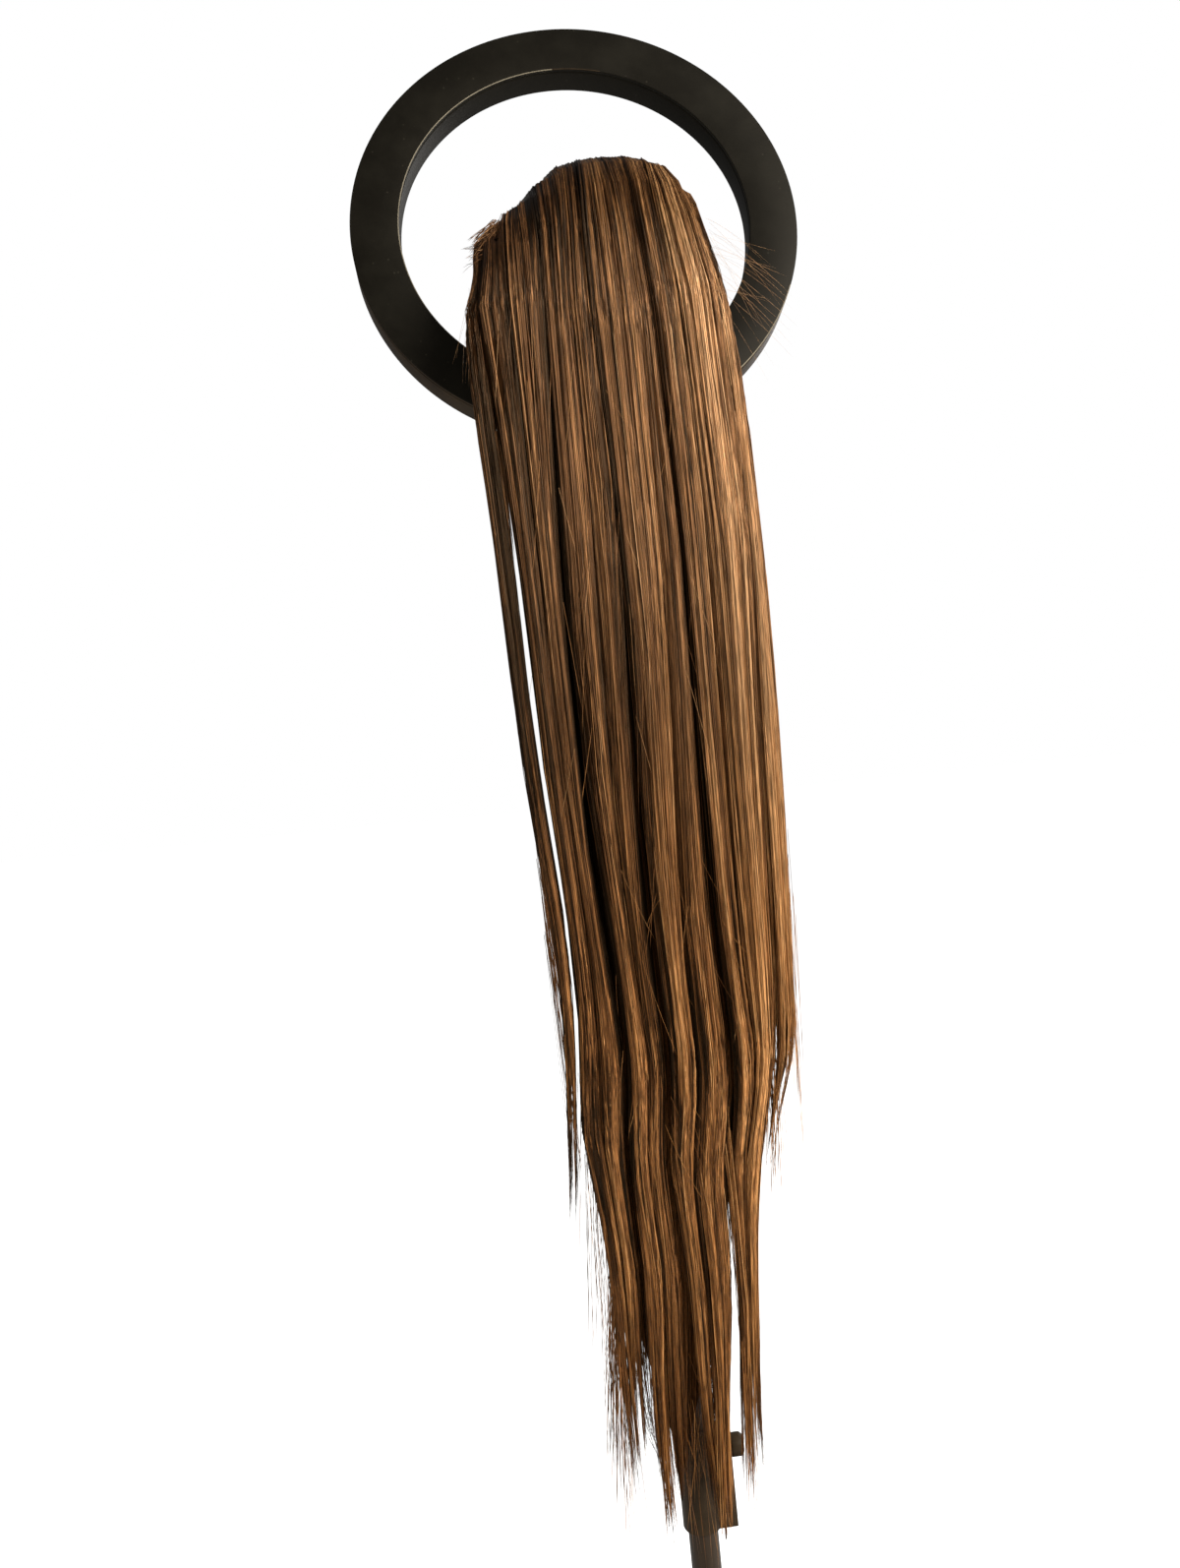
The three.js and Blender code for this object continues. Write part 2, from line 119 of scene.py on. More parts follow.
floor_shape = bmesh.new()
bmesh.ops.create_grid(floor_shape, x_segments=1, y_segments=1, size=FLOOR_HALF)
floor = bpy.data.objects.new("floor", bpy.data.meshes.new("floor"))
floor_shape.to_mesh(floor.data)
floor_shape.free()
floor.data.materials.append(paper)
bpy.context.scene.collection.objects.link(floor)

LIT_POINT = Vector((0.02, 0, 0.66))
SOFTBOXES = [
    # name, place, width, height, watts
    ("key_right", (1.15, -1.2, 1.32), 0.8, 1.2, 62),
    ("fill_left", (-1.5, -1.3, 0.9), 1.2, 1.6, 7),
    ("back_right", (1.4, 1.3, 1.3), 1.0, 1.2, 14),
]
for name, place, width, height, watts in SOFTBOXES:
    lamp = bpy.data.lights.new(name, "AREA")
    lamp.shape = "RECTANGLE"
    lamp.size = width
    lamp.size_y = height
    lamp.energy = watts
    softbox = bpy.data.objects.new(name, lamp)
    softbox.location = place
    softbox.rotation_euler = (LIT_POINT - Vector(place)).to_track_quat("-Z", "Y").to_euler()
    softbox.visible_camera = False
    bpy.context.scene.collection.objects.link(softbox)


# The ring of the stand: a flat moulded housing with a face plate set into its front, leaning back.
# Matte black ABS with a fine moulded grain and a little dust. A painted highlight lies pale on the inner
# front edge at the left and on the outer front edge at the lower right, where they catch the light, and the
# outer wall is painted lighter as if lit.

RING_OUTER = 130 * MM
RING_INNER = 102 * MM
RING_THICKNESS = 17 * MM
RING_TILT = math.radians(10.4)
RING_CENTRE = Vector((0, RING_OUTER * math.sin(RING_TILT), 900 * MM))
RING_SEAM = 0.7 * MM
RING_SEAM_FROM_FACE = 2.2 * MM
RING_ROUNDING = 0.55 * MM
RING_STEPS = 180
STEEP = 0.5
FLAT = 0.98
# Where the painted highlight on the front edges ends: x on the inner edge, x of its fainter run, y on the
# outer edge.
HIGHLIGHT_TO = -5 * MM
HALF_LIT_TO = 25 * MM
HIGHLIGHT_BELOW = -49 * MM


def turned(profile, rounding, steps):
    """A bmesh turned around Z from a closed profile of (radius, height) points with rounded corners."""
    shape = bmesh.new()
    shape.faces.new([shape.verts.new((radius, 0, height)) for radius, height in profile])
    corners = [v for v in shape.verts if v.co.x > 0]
    bmesh.ops.bevel(
        shape, geom=corners, offset=rounding, affect="VERTICES", segments=3, profile=0.5, material=-1
    )
    bmesh.ops.delete(shape, geom=list(shape.faces), context="FACES_ONLY")
    on_axis = [e for e in shape.edges if all(v.co.x == 0 for v in e.verts)]
    bmesh.ops.delete(shape, geom=on_axis, context="EDGES")
    bmesh.ops.spin(
        shape, geom=[*shape.verts, *shape.edges], cent=(0, 0, 0), axis=(0, 0, 1),
        angle=math.tau, steps=steps, use_merge=True,
    )
    bmesh.ops.remove_doubles(shape, verts=list(shape.verts), dist=1e-6)
    bmesh.ops.recalc_face_normals(shape, faces=list(shape.faces))
    return shape


CREASE = math.radians(35)


def finished(name, shape, material, slot, *nodes):
    """Makes an object of a bmesh, with smooth faces and sharp creases, in place of CAD nodes."""
    mesh = bpy.data.meshes.new(name)
    shape.to_mesh(mesh)
    shape.free()
    mesh.polygons.foreach_set("use_smooth", [True] * len(mesh.polygons))
    mesh.set_sharp_from_angle(angle=CREASE)
    mesh.materials.append(material)
    piece = bpy.data.objects.new(name, mesh)
    bpy.context.scene.collection.objects.link(piece)
    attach(piece, "root")
    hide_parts(*nodes)
    return piece


# Moulded black ABS: dull and dark, with grain too fine to see but for its soft gloss. The dust lies in
# clouds of a few centimetres with specks in it, thickest on the ring's outer wall and on the fittings,
# whose copy of the black is also painted lighter as if lit.
GRAIN_WIDTH = 0.8 * MM
DUST_CLOUD = 28 * MM
SPECK_SPACING = 7 * MM


def moulded_abs(name, plain, dusty, most_dust):
    material, tree, shader = new_material(name)
    place = add_node(tree, "ShaderNodeTexCoord").outputs["Object"]
    grain = add_node(tree, "ShaderNodeTexNoise", {"Vector": place, "Scale": 1 / GRAIN_WIDTH, "Detail": 2.0})
    cloud = {"Vector": place, "Scale": 1 / DUST_CLOUD, "Detail": 5.0, "Roughness": 0.62}
    dust = add_node(tree, "ShaderNodeTexNoise", cloud)
    specks = add_node(tree, "ShaderNodeTexVoronoi", {"Vector": place, "Scale": 1 / SPECK_SPACING})
    near = {"From Min": 0.04, "From Max": 0.09, "To Min": 0.5, "To Max": 0.0}
    speck_mask = add_node(tree, "ShaderNodeMapRange", {"Value": specks.outputs["Distance"], **near})
    in_cloud = {"Value": dust.outputs["Fac"], "From Min": 0.4, "From Max": 0.8, "To Max": most_dust}
    dust_mask = add_node(tree, "ShaderNodeMapRange", in_cloud)
    either = {0: speck_mask.outputs[0], 1: dust_mask.outputs[0]}
    haze = add_node(tree, "ShaderNodeMath", either, operation="MAXIMUM")
    shades = {"Factor": haze.outputs[0], "A": linear(plain), "B": linear(dusty)}
    paint = add_node(tree, "ShaderNodeMix", shades, data_type="RGBA")
    tree.links.new(paint.outputs["Result"], shader.inputs["Base Color"])
    dulled = {"Value": dust.outputs["Fac"], "To Min": 0.4, "To Max": 0.62}
    sheen = add_node(tree, "ShaderNodeMapRange", dulled)
    tree.links.new(sheen.outputs[0], shader.inputs["Roughness"])
    grainy = {"Height": grain.outputs["Fac"], "Strength": 0.12, "Distance": 0.1 * MM}
    relief = add_node(tree, "ShaderNodeBump", grainy)
    tree.links.new(relief.outputs[0], shader.inputs["Normal"])
    shader.inputs["Specular IOR Level"].default_value = 0.12
    shader.inputs["Specular Tint"].default_value = linear("#fff0d8")
    return material


black_abs = moulded_abs("matte_black_abs", "#0c0a06", "#38342a", 0.13)
# A dustier copy of the black, also painted lighter as if lit, for the ring's outer wall and the fittings.
lit_dusty_abs = moulded_abs("lit_dusty_black_abs", "#261c11", "#554532", 0.5)
# A pale copy of the black: a painted highlight on the front edges that catch the light.
edge_highlight_abs = moulded_abs("edge_highlight_black_abs", "#6a6150", "#8d8370", 0.6)

front = RING_THICKNESS / 2
seam = front - RING_SEAM_FROM_FACE
ring_profile = [
    (RING_INNER, -front),
    (RING_OUTER, -front),
    (RING_OUTER, seam - RING_SEAM),
    (RING_OUTER - RING_SEAM, seam),
    (RING_OUTER, seam + RING_SEAM),
    (RING_OUTER, front),
    (RING_INNER, front),
    (RING_INNER, seam + RING_SEAM),
    (RING_INNER + RING_SEAM, seam),
    (RING_INNER, seam - RING_SEAM),
]
ring = turned(ring_profile, RING_ROUNDING, RING_STEPS)
LIT_DUSTY, EDGE_HIGHLIGHT = 1, 2
for face in ring.faces:
    middle = face.calc_center_median()
    outside = middle.xy.length > (RING_INNER + RING_OUTER) / 2
    upright = abs(face.normal.z)
    # The outer wall takes the dustier copy, painted lighter as if lit.
    if outside and upright < STEEP:
        face.material_index = LIT_DUSTY
    # Painted highlight on the inner front edge: pale at the left, then the lighter copy up to a little right
    # of the middle.
    elif not outside and STEEP < upright < FLAT and middle.z > seam and middle.x < HALF_LIT_TO:
        face.material_index = EDGE_HIGHLIGHT if middle.x < HIGHLIGHT_TO else LIT_DUSTY
    # Painted highlight on the outer front edge at the lower right.
    elif outside and upright < FLAT and middle.z > seam and middle.x > 0 and middle.y < HIGHLIGHT_BELOW:
        face.material_index = EDGE_HIGHLIGHT
bmesh.ops.rotate(ring, verts=ring.verts, matrix=Matrix.Rotation(math.pi / 2 - RING_TILT, 3, "X"))
bmesh.ops.translate(ring, verts=ring.verts, vec=RING_CENTRE)
housing = finished("ring_housing", ring, black_abs, "stand_plastic", "stand_ring")
housing.data.materials.append(lit_dusty_abs)
housing.data.materials.append(edge_highlight_abs)


# The stand's small fittings: the hidden holder, the neck under the ring, the clamp collar and its knob.
# Moulded in the same black ABS, in its dustier copy painted lighter as if lit, with eased edges. Each takes
# its form from its solid.

EASED_EDGE = 0.7 * MM
SHARP_EDGE = math.radians(40)
FLAT_ENOUGH = math.radians(1)


def eased_copy(node, width):
    """A bmesh of a CAD node with its flat faces joined and its sharp edges rounded."""
    shape = bmesh.new()
    shape.from_mesh(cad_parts[node].data)
    bmesh.ops.remove_doubles(shape, verts=list(shape.verts), dist=1e-6)
    bmesh.ops.dissolve_limit(shape, angle_limit=FLAT_ENOUGH, verts=list(shape.verts), edges=list(shape.edges))
    sharp = [e for e in shape.edges if e.is_manifold and e.calc_face_angle() > SHARP_EDGE]
    bmesh.ops.bevel(
        shape, geom=sharp, offset=width, affect="EDGES", segments=2, profile=0.5, material=-1,
        clamp_overlap=True,
    )
    return shape


# The fittings take the dustier copy, painted lighter as if lit.
for node in ("stand_holder", "stand_neck", "stand_collar", "stand_knob"):
    finished(node.replace("stand_", "eased_"), eased_copy(node, EASED_EDGE), lit_dusty_abs, "stand_plastic", node)


# The pole: two drawn steel tubes, the upper sliding in the lower. Satin black paint over the fine lines
# of the drawing gives long soft streaks of gloss.

TUBE_EDGE = 0.25 * MM
DRAWN_LINE = 1.5 * MM
DRAWN_LENGTH = 60 * MM

satin_black, tree, shader = new_material("satin_black_paint")
place = add_node(tree, "ShaderNodeTexCoord").outputs["Object"]
drawn = {"Vector": place, "Scale": (1 / DRAWN_LINE, 1 / DRAWN_LINE, 1 / DRAWN_LENGTH)}
drawn_place = add_node(tree, "ShaderNodeMapping", drawn).outputs[0]
streaks = add_node(tree, "ShaderNodeTexNoise", {"Vector": drawn_place, "Scale": 1.0, "Detail": 3.0})
streaky = {"Factor": streaks.outputs["Fac"], "A": linear("#17100b"), "B": linear("#3a2e23")}
paint = add_node(tree, "ShaderNodeMix", streaky, data_type="RGBA")
tree.links.new(paint.outputs["Result"], shader.inputs["Base Color"])
gloss = add_node(tree, "ShaderNodeMapRange", {"Value": streaks.outputs["Fac"], "To Min": 0.3, "To Max": 0.48})
tree.links.new(gloss.outputs[0], shader.inputs["Roughness"])
shader.inputs["Specular IOR Level"].default_value = 0.25
shader.inputs["Specular Tint"].default_value = linear("#ffe8cc")

for node in ("stand_pole", "stand_sleeve"):
    finished(node.replace("stand_", "painted_"), eased_copy(node, TUBE_EDGE), satin_black, "pole_paint", node)


# The foot: a round pressed plate with a raised socket for the pole, weighted to keep the stand up.
# Matte black powder coat, with its slight orange peel and a little dust.

FOOT_RADIUS = 125 * MM
FOOT_THICKNESS = 12 * MM
FOOT_EDGE = 3 * MM
BOSS_RADIUS = 17 * MM
BOSS_TOP = 46 * MM
SOCKET_RADIUS = 8.8 * MM
SOCKET_FLOOR = 16 * MM
FOOT_ROUNDING = 0.8 * MM
FOOT_STEPS = 120
PEEL_WIDTH = 1.2 * MM
FOOT_DUST_CLOUD = 40 * MM

powder_black, tree, shader = new_material("matte_black_powder_coat")
place = add_node(tree, "ShaderNodeTexCoord").outputs["Object"]
peel = add_node(tree, "ShaderNodeTexNoise", {"Vector": place, "Scale": 1 / PEEL_WIDTH, "Detail": 2.0})
cloud = {"Vector": place, "Scale": 1 / FOOT_DUST_CLOUD, "Detail": 6.0, "Roughness": 0.6}
dust = add_node(tree, "ShaderNodeTexNoise", cloud)
in_cloud = {"Value": dust.outputs["Fac"], "From Min": 0.45, "From Max": 0.8, "To Max": 0.3}
dust_mask = add_node(tree, "ShaderNodeMapRange", in_cloud)
dusty = {"Factor": dust_mask.outputs[0], "A": linear("#161512"), "B": linear("#45423a")}
paint = add_node(tree, "ShaderNodeMix", dusty, data_type="RGBA")
tree.links.new(paint.outputs["Result"], shader.inputs["Base Color"])
shader.inputs["Roughness"].default_value = 0.55
bumpy = {"Height": peel.outputs["Fac"], "Strength": 0.2, "Distance": 0.15 * MM}
relief = add_node(tree, "ShaderNodeBump", bumpy)
tree.links.new(relief.outputs[0], shader.inputs["Normal"])

foot_profile = [
    (0, 0),
    (FOOT_RADIUS, 0),
    (FOOT_RADIUS, FOOT_THICKNESS - FOOT_EDGE),
    (FOOT_RADIUS - FOOT_EDGE, FOOT_THICKNESS),
    (BOSS_RADIUS, FOOT_THICKNESS),
    (BOSS_RADIUS, BOSS_TOP),
    (SOCKET_RADIUS, BOSS_TOP),
    (SOCKET_RADIUS, SOCKET_FLOOR),
    (0, SOCKET_FLOOR),
]
foot = turned(foot_profile, FOOT_ROUNDING, FOOT_STEPS)
finished("round_foot", foot, powder_black, "foot_paint", "stand_foot")


# The clip: a toothed channel pushed down over the holder's crossbar, sewn to the cap's back.
# Dark brown polycarbonate, moulded, so that it shines and shows faint flow marks.

CLIP_EDGE = 0.5 * MM
FLOW_MARK = 14 * MM

brown_plastic, tree, shader = new_material("dark_brown_polycarbonate")
place = add_node(tree, "ShaderNodeTexCoord").outputs["Object"]
flow = add_node(tree, "ShaderNodeTexNoise", {"Vector": place, "Scale": 1 / FLOW_MARK, "Detail": 3.0})
flowing = {"Factor": flow.outputs["Fac"], "A": linear("#24170f"), "B": linear("#3a2618")}
paint = add_node(tree, "ShaderNodeMix", flowing, data_type="RGBA")
tree.links.new(paint.outputs["Result"], shader.inputs["Base Color"])
gloss = add_node(tree, "ShaderNodeMapRange", {"Value": flow.outputs["Fac"], "To Min": 0.22, "To Max": 0.38})
tree.links.new(gloss.outputs[0], shader.inputs["Roughness"])
shader.inputs["IOR"].default_value = 1.58
finished("toothed_clip", eased_copy("clip", CLIP_EDGE), brown_plastic, "clip_plastic", "clip")


# The locks of hair: long straight synthetic fibres. They come over the crown in a smooth dome, part into
# locks, carry the wave of the pack they were folded in, and end in thin uneven wisps.

CROWN_Z = 922
CAP_BACK_Y = -3
# Where each parting runs: its x at each level, how far the crown has dropped there, and how wide it opens.
PARTING_COLUMNS = (
    "crown", "crown_drop", "brow", "shoulder", "upper", "middle", "lower",
    "bend", "turn", "swing", "settle", "tail", "ends", "gap",
)
PARTING_ROWS = {
    "left_edge": (-60, 44, -63, -69, -65, -61, -53, -54, -56, -58, -58, -58, -58, 0),
    "slit_left": (-54, 40, -57, -61, -57, -54, -47, -49, -51, -54, -54, -54, -54, 0),
    "slit_right": (-54, 40, -58, -62, -52, -50, -43, -46, -48, -44, -40, -40, -40, 0),
    "left_cheek": (-42, 31, -45, -45, -43, -41, -35, -36, -38, -36, -33, -34, -35, 1),
    "left_gap": (-26, 16, -26, -27, -30, -32, -24, -22, -25, -26, -23, -27, -28, 6),
    "left_fold": (-12, 5, -12, -14, -12, -16, -13, -10, -13, -15, -12, -16, -19, 0),
    "mid_gap": (0, 2, -1, -2, 3, -3, -1, 1, -2, -4, -1, -2, -1, 7),
    "mid_fold": (15, 1, 19, 21, 23, 21, 14, 16, 13, 8, 10, 9, 8, 1),
    "right_gap": (25, 1, 28, 31, 35, 33, 33, 35, 33, 28, 28, 24, 20, 6),
    "right_fold": (36, 3, 40, 44, 48, 47, 46, 48, 44, 37, 34, 31, 28, 1),
    "right_cheek": (46, 9, 57, 65, 71, 66, 63, 58, 52, 46, 40, 36, 33, 1),
    "right_edge": (54, 20, 63, 72, 78, 78, 74, 69, 60, 50, 43, 38, 35, 0),
}
PARTINGS = {name: dict(zip(PARTING_COLUMNS, row)) for name, row in PARTING_ROWS.items()}
LEVELS = {
    # drop below the crown, y of the locks' middle, depth, open gaps, width in the space left, roundness
    "brow": (50, -31, 24, 0.0, 1.16, 0.3),
    "shoulder": (95, -36, 22, 0.2, 1.16, 0.45),
    "upper": (210, -36, 20, 0.5, 1.12, 0.7),
    "middle": (330, -35, 19, 0.9, 1.08, 0.9),
    "lower": (440, -34, 18, 1.0, 1.08, 1.0),
    "bend": (497, -37, 17, 1.0, 1.08, 1.0),
    "turn": (528, -36, 16, 1.0, 1.06, 1.0),
    "swing": (562, -32, 14, 1.0, 1.06, 1.0),
    "settle": (612, -31, 12, 1.0, 1.06, 1.0),
    "tail": (664, -30, 10, 1.2, 1.0, 1.0),
    "ends": (708, -29, 7, 1.3, 0.8, 1.0),
}
# How painted shade and light change a lock's tint at shares of the longest drop: at the shaded left, between,
# and at the lit right.
TINT_DROPS = (0.1, 0.22, 0.43, 0.6, 0.8)
SHADED_SIDE = (0, -0.02, 0.05, 0.12, 0.19)
BETWEEN = (0, -0.02, 0, 0, -0.06)
LIT_SIDE = (0, -0.14, 0.14, 0, -0.22)
LOCKS = [
    # left parting, right parting, x and drop of the tip, drop where it thins, tint at the crown, painted
    # darker at the shaded left and paler at the lit right, how the tint changes, fibres behind for each one
    # in front
    ("left_edge", "slit_left", -59, 590, 420, 0.17, SHADED_SIDE, 1.0),
    ("slit_right", "left_cheek", -36, 722, 595, 0.21, SHADED_SIDE, 0.4),
    ("left_cheek", "left_gap", -32, 715, 590, 0.26, SHADED_SIDE, 0.2),
    ("left_gap", "left_fold", -19, 756, 670, 0.32, SHADED_SIDE, 0.15),
    ("left_fold", "mid_gap", -13, 738, 670, 0.35, SHADED_SIDE, 0.15),
    ("mid_gap", "mid_fold", 7, 752, 690, 0.56, BETWEEN, 0.15),
    ("mid_fold", "right_gap", 9, 762, 705, 0.52, BETWEEN, 0.15),
    ("right_gap", "right_fold", 24, 737, 640, 0.64, BETWEEN, 0.15),
    ("right_fold", "right_cheek", 31, 730, 630, 0.77, LIT_SIDE, 0.3),
    ("right_cheek", "right_edge", 49, 560, 465, 0.73, LIT_SIDE, 1.0),
]
BACK_LOCKS = [
    # left parting, right parting, x and drop of the tip, drop where it thins, behind the front, depth share
    ("left_cheek", "right_gap", -8, 736, 640, 8, 1.1),
    ("mid_fold", "right_cheek", 34, 600, 500, 7, 0.9),
]
CROWN_FROM_BACK = 13
CROWN_DEPTH_SHARE = 0.88
CROWN_FILL = 1.06
CROWN_TO_BROW = 30
CROWN_ROUNDNESS = 0.02
ROOT_FROM_BACK = 1
ROOT_BELOW_CROWN = 5
FOREHEAD_BEHIND_BROW = 6
FOREHEAD_BELOW_CROWN = 12
FOREHEAD_LEAN = 0.8
FOREHEAD_ROUNDNESS = 0.15
TIP_SHARE = 0.4
TIP_TAPER = 16
TIP_BACKWARD = 2
NARROW_LOCK_DEPTH = 1.35
X, Y, Z, HALF, THICK, LEAN, ROUND = range(7)


def hanging_stations(left, right, tip_drop, behind=0, depth_share=1):
    """The hanging part of a lock in millimetres, a row of the seven columns for each level."""
    rows = []
    for name, (drop, y, depth, opened, fill, roundness) in LEVELS.items():
        if drop < tip_drop - TIP_TAPER:
            a = PARTINGS[left][name] + PARTINGS[left]["gap"] * opened / 2
            b = PARTINGS[right][name] - PARTINGS[right]["gap"] * opened / 2
            width = (b - a) * fill
            thick = min(depth * depth_share, width * NARROW_LOCK_DEPTH)
            rows.append(((a + b) / 2, y + behind, CROWN_Z - drop, width / 2, thick / 2, 0, roundness))
    return rows


def over_crown(left, right, brow):
    """The start of a front lock: from the cap's back over the crown, where it leans with it, to the brow."""
    a, b = PARTINGS[left], PARTINGS[right]
    lean = (a["crown_drop"] - b["crown_drop"]) / (b["crown"] - a["crown"])
    slope = math.hypot(1, lean)
    half = (b["crown"] - a["crown"]) * slope * CROWN_FILL / 2
    thick = brow[THICK] * CROWN_DEPTH_SHARE
    x = (a["crown"] + b["crown"]) / 2 + thick * lean / slope
    z = CROWN_Z - (a["crown_drop"] + b["crown_drop"]) / 2 - thick / slope
    root_y, crown_y = CAP_BACK_Y - ROOT_FROM_BACK, CAP_BACK_Y - CROWN_FROM_BACK
    forehead = (
        (x + brow[X]) / 2, brow[Y] + FOREHEAD_BEHIND_BROW, z - FOREHEAD_BELOW_CROWN,
        (half + brow[HALF]) / 2, brow[THICK], lean * FOREHEAD_LEAN, FOREHEAD_ROUNDNESS,
    )
    return [
        (x, root_y, z - ROOT_BELOW_CROWN, half, thick, lean, CROWN_ROUNDNESS),
        (x, crown_y, z, half, thick, lean, CROWN_ROUNDNESS),
        forehead,
        (brow[X], brow[Y], min(brow[Z], z - CROWN_TO_BROW), *brow[HALF:]),
    ]


def tip_station(last, tip_x, tip_drop):
    half, thick = (last[column] * TIP_SHARE for column in (HALF, THICK))
    return (tip_x, last[Y] + TIP_BACKWARD, CROWN_Z - tip_drop, half, thick, 0, 1)


def front_stations(left, right, tip_x, tip_drop):
    brow, *below = hanging_stations(left, right, tip_drop)
    return np.array([*over_crown(left, right, brow), *below, tip_station(below[-1], tip_x, tip_drop)])


def back_stations(left, right, tip_x, tip_drop, behind, depth_share):
    rows = hanging_stations(left, right, tip_drop, behind, depth_share)
    return np.array([*rows, tip_station(rows[-1], tip_x, tip_drop)])


def through(stations, at):
    """A smooth curve through the stations, where at counts stations from 0 at the root."""
    rows = np.vstack([2 * stations[0] - stations[1], stations, 2 * stations[-1] - stations[-2]])
    i = np.clip(at.astype(int), 0, len(stations) - 2)
    p0, p1, p2, p3 = (rows[i + k] for k in range(4))
    pairs = ((p0, p1), (p1, p2), (p2, p3))
    d0, d1, d2 = (np.linalg.norm((b - a)[..., :3], axis=-1, keepdims=True) ** 0.5 for a, b in pairs)
    leaving = ((p1 - p0) / d0 - (p2 - p0) / (d0 + d1) + (p2 - p1) / d1) * d1
    arriving = ((p2 - p1) / d1 - (p3 - p1) / (d1 + d2) + (p3 - p2) / d2) * d1
    f = (at - i)[..., None]
    return (
        (2 * f**3 - 3 * f**2 + 1) * p1 + (f**3 - 2 * f**2 + f) * leaving
        + (3 * f**2 - 2 * f**3) * p2 + (f**3 - f**2) * arriving
    )


def unit(vectors):
    return vectors / np.linalg.norm(vectors, axis=-1, keepdims=True)


def frames(points, lean=0.0):
    """Directions across and outward along paths of points."""
    tangent = unit(np.gradient(points, axis=-2))
    across = np.zeros_like(tangent)
    across[..., 0] = 1
    across[..., 2] = lean
    across = unit(across - tangent * (across * tangent).sum(-1, keepdims=True))
    return across, np.cross(tangent, across)


def on_lock(stations, at, angle, reach, least=0.0, slide=0.0):
    """Points around a lock: angle is 0 in front, reach is 1 on its surface, and slide is in millimetres."""
    rows = through(stations, at)
    across, outward = frames(rows[..., :3], rows[..., LEAN])
    forward = np.cos(angle)
    forward = np.where(forward > 0, 1 - rows[..., ROUND] * (1 - forward), forward)
    half, thick = (np.maximum(rows[..., column], least) for column in (HALF, THICK))
    sideways = across * (np.sin(angle) * reach * half + slide)[..., None]
    return rows[..., :3] + sideways + outward * (forward * reach * thick)[..., None]


STRIP_SIDE_MARGIN = 0.1
STRIP_END_MARGIN = 0.04
END_MIDDLE = 0.02
END_HALF = (0.3, 0.01)


def joined_tubes(name, material, rings, **attributes):
    """One mesh of closed tubes from an array of tubes, rings, sides and xyz in millimetres.

    An attribute has a value for each ring. Each tube has its own strip of the bake's UV map.
    """
    tubes, steps, sides, _ = rings.shape
    index = np.arange(tubes * steps * sides).reshape(tubes, steps, sides)
    here, along = index[:, :-1], index[:, 1:]
    quads = np.stack([here, along, np.roll(along, -1, 2), np.roll(here, -1, 2)], -1).reshape(-1, 4)
    ends = np.concatenate([index[:, 0], index[:, -1, ::-1]])
    mesh = bpy.data.meshes.new(name)
    mesh.vertices.add(index.size)
    mesh.vertices.foreach_set("co", (rings * MM).astype(np.float32).ravel())
    corners = np.concatenate([quads.ravel(), ends.ravel()]).astype(np.int32)
    mesh.loops.add(len(corners))
    mesh.loops.foreach_set("vertex_index", corners)
    starts = np.concatenate([np.arange(len(quads)) * 4, len(quads) * 4 + np.arange(len(ends)) * sides])
    mesh.polygons.add(len(starts))
    mesh.polygons.foreach_set("loop_start", starts.astype(np.int32))
    mesh.update(calc_edges=True)
    mesh.polygons.foreach_set("use_smooth", np.ones(len(starts), bool))
    for key, values in attributes.items():
        values = np.broadcast_to(values[..., None], index.shape).astype(np.float32)
        mesh.attributes.new(key, "FLOAT", "POINT").data.foreach_set("value", values.ravel())

    strips = math.ceil(math.sqrt(tubes))
    tube, step, side = np.meshgrid(*(np.arange(n) for n in (tubes, steps - 1, sides)), indexing="ij")
    u = (side[..., None] + np.array([0, 0, 1, 1])) / sides
    v = (step[..., None] + np.array([0, 1, 1, 0])) / (steps - 1)
    strip_u = (tube[..., None] % strips + STRIP_SIDE_MARGIN + (1 - 2 * STRIP_SIDE_MARGIN) * u) / strips
    strip_v = (tube[..., None] // strips + STRIP_END_MARGIN + (1 - 2 * STRIP_END_MARGIN) * v) / strips
    turn = np.arange(sides) * math.tau / sides
    end_tube = np.tile(np.arange(tubes), 2)[:, None]
    end_places = np.repeat([END_MIDDLE, 1 - END_MIDDLE], tubes)[:, None]
    end_u = (end_tube % strips + 0.5 + END_HALF[0] * np.cos(turn)) / strips
    end_v = (end_tube // strips + end_places + END_HALF[1] * np.sin(turn)) / strips
    all_u = np.concatenate([strip_u.ravel(), end_u.ravel()])
    all_v = np.concatenate([strip_v.ravel(), end_v.ravel()])
    places = np.stack([all_u, all_v], -1).astype(np.float32)
    mesh.uv_layers.new(name="OFBake").data.foreach_set("uv", places.ravel())

    mesh.materials.append(material)
    piece = bpy.data.objects.new(name, mesh)
    bpy.context.scene.collection.objects.link(piece)
    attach(piece, "root")
    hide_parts("hair")
    return piece


# Synthetic hair: dyed in the fibre, with a warm gloss. Fibres of a lock differ a little in tint. Painted
# shade makes it darkest deep between the locks and darker on the crown, painted light brightens the shoulder,
# and the dye turns more golden towards the ends. Flecks of painted sheen and uneven dye come and go along a
# fibre. Fibres that lie inside, in each other's shade, show next to no gloss, and their colour is painted
# dark as shade.
TINTS = [(0.0, "#0a0502"), (0.22, "#352110"), (0.5, "#765438"), (0.75, "#a0764c"), (1.0, "#cfa679")]
# By drop: painted shade on the crown, painted light on the shoulder, painted shade again about the middle,
# and a dye more golden towards the ends.
DROP_LIGHT_AND_DYE = [
    (0.0, "#978b7a"), (0.06, "#bbad9c"), (0.12, "#fff6f0"), (0.22, "#f8ece3"), (0.4, "#c9bcb0"),
    (0.6, "#f2ddc2"), (0.8, "#ffe8c8"), (1.0, "#ffe0b4"),
]
FLECK_WIDTH = 1.0 * MM
FLECK_LENGTH = 16 * MM


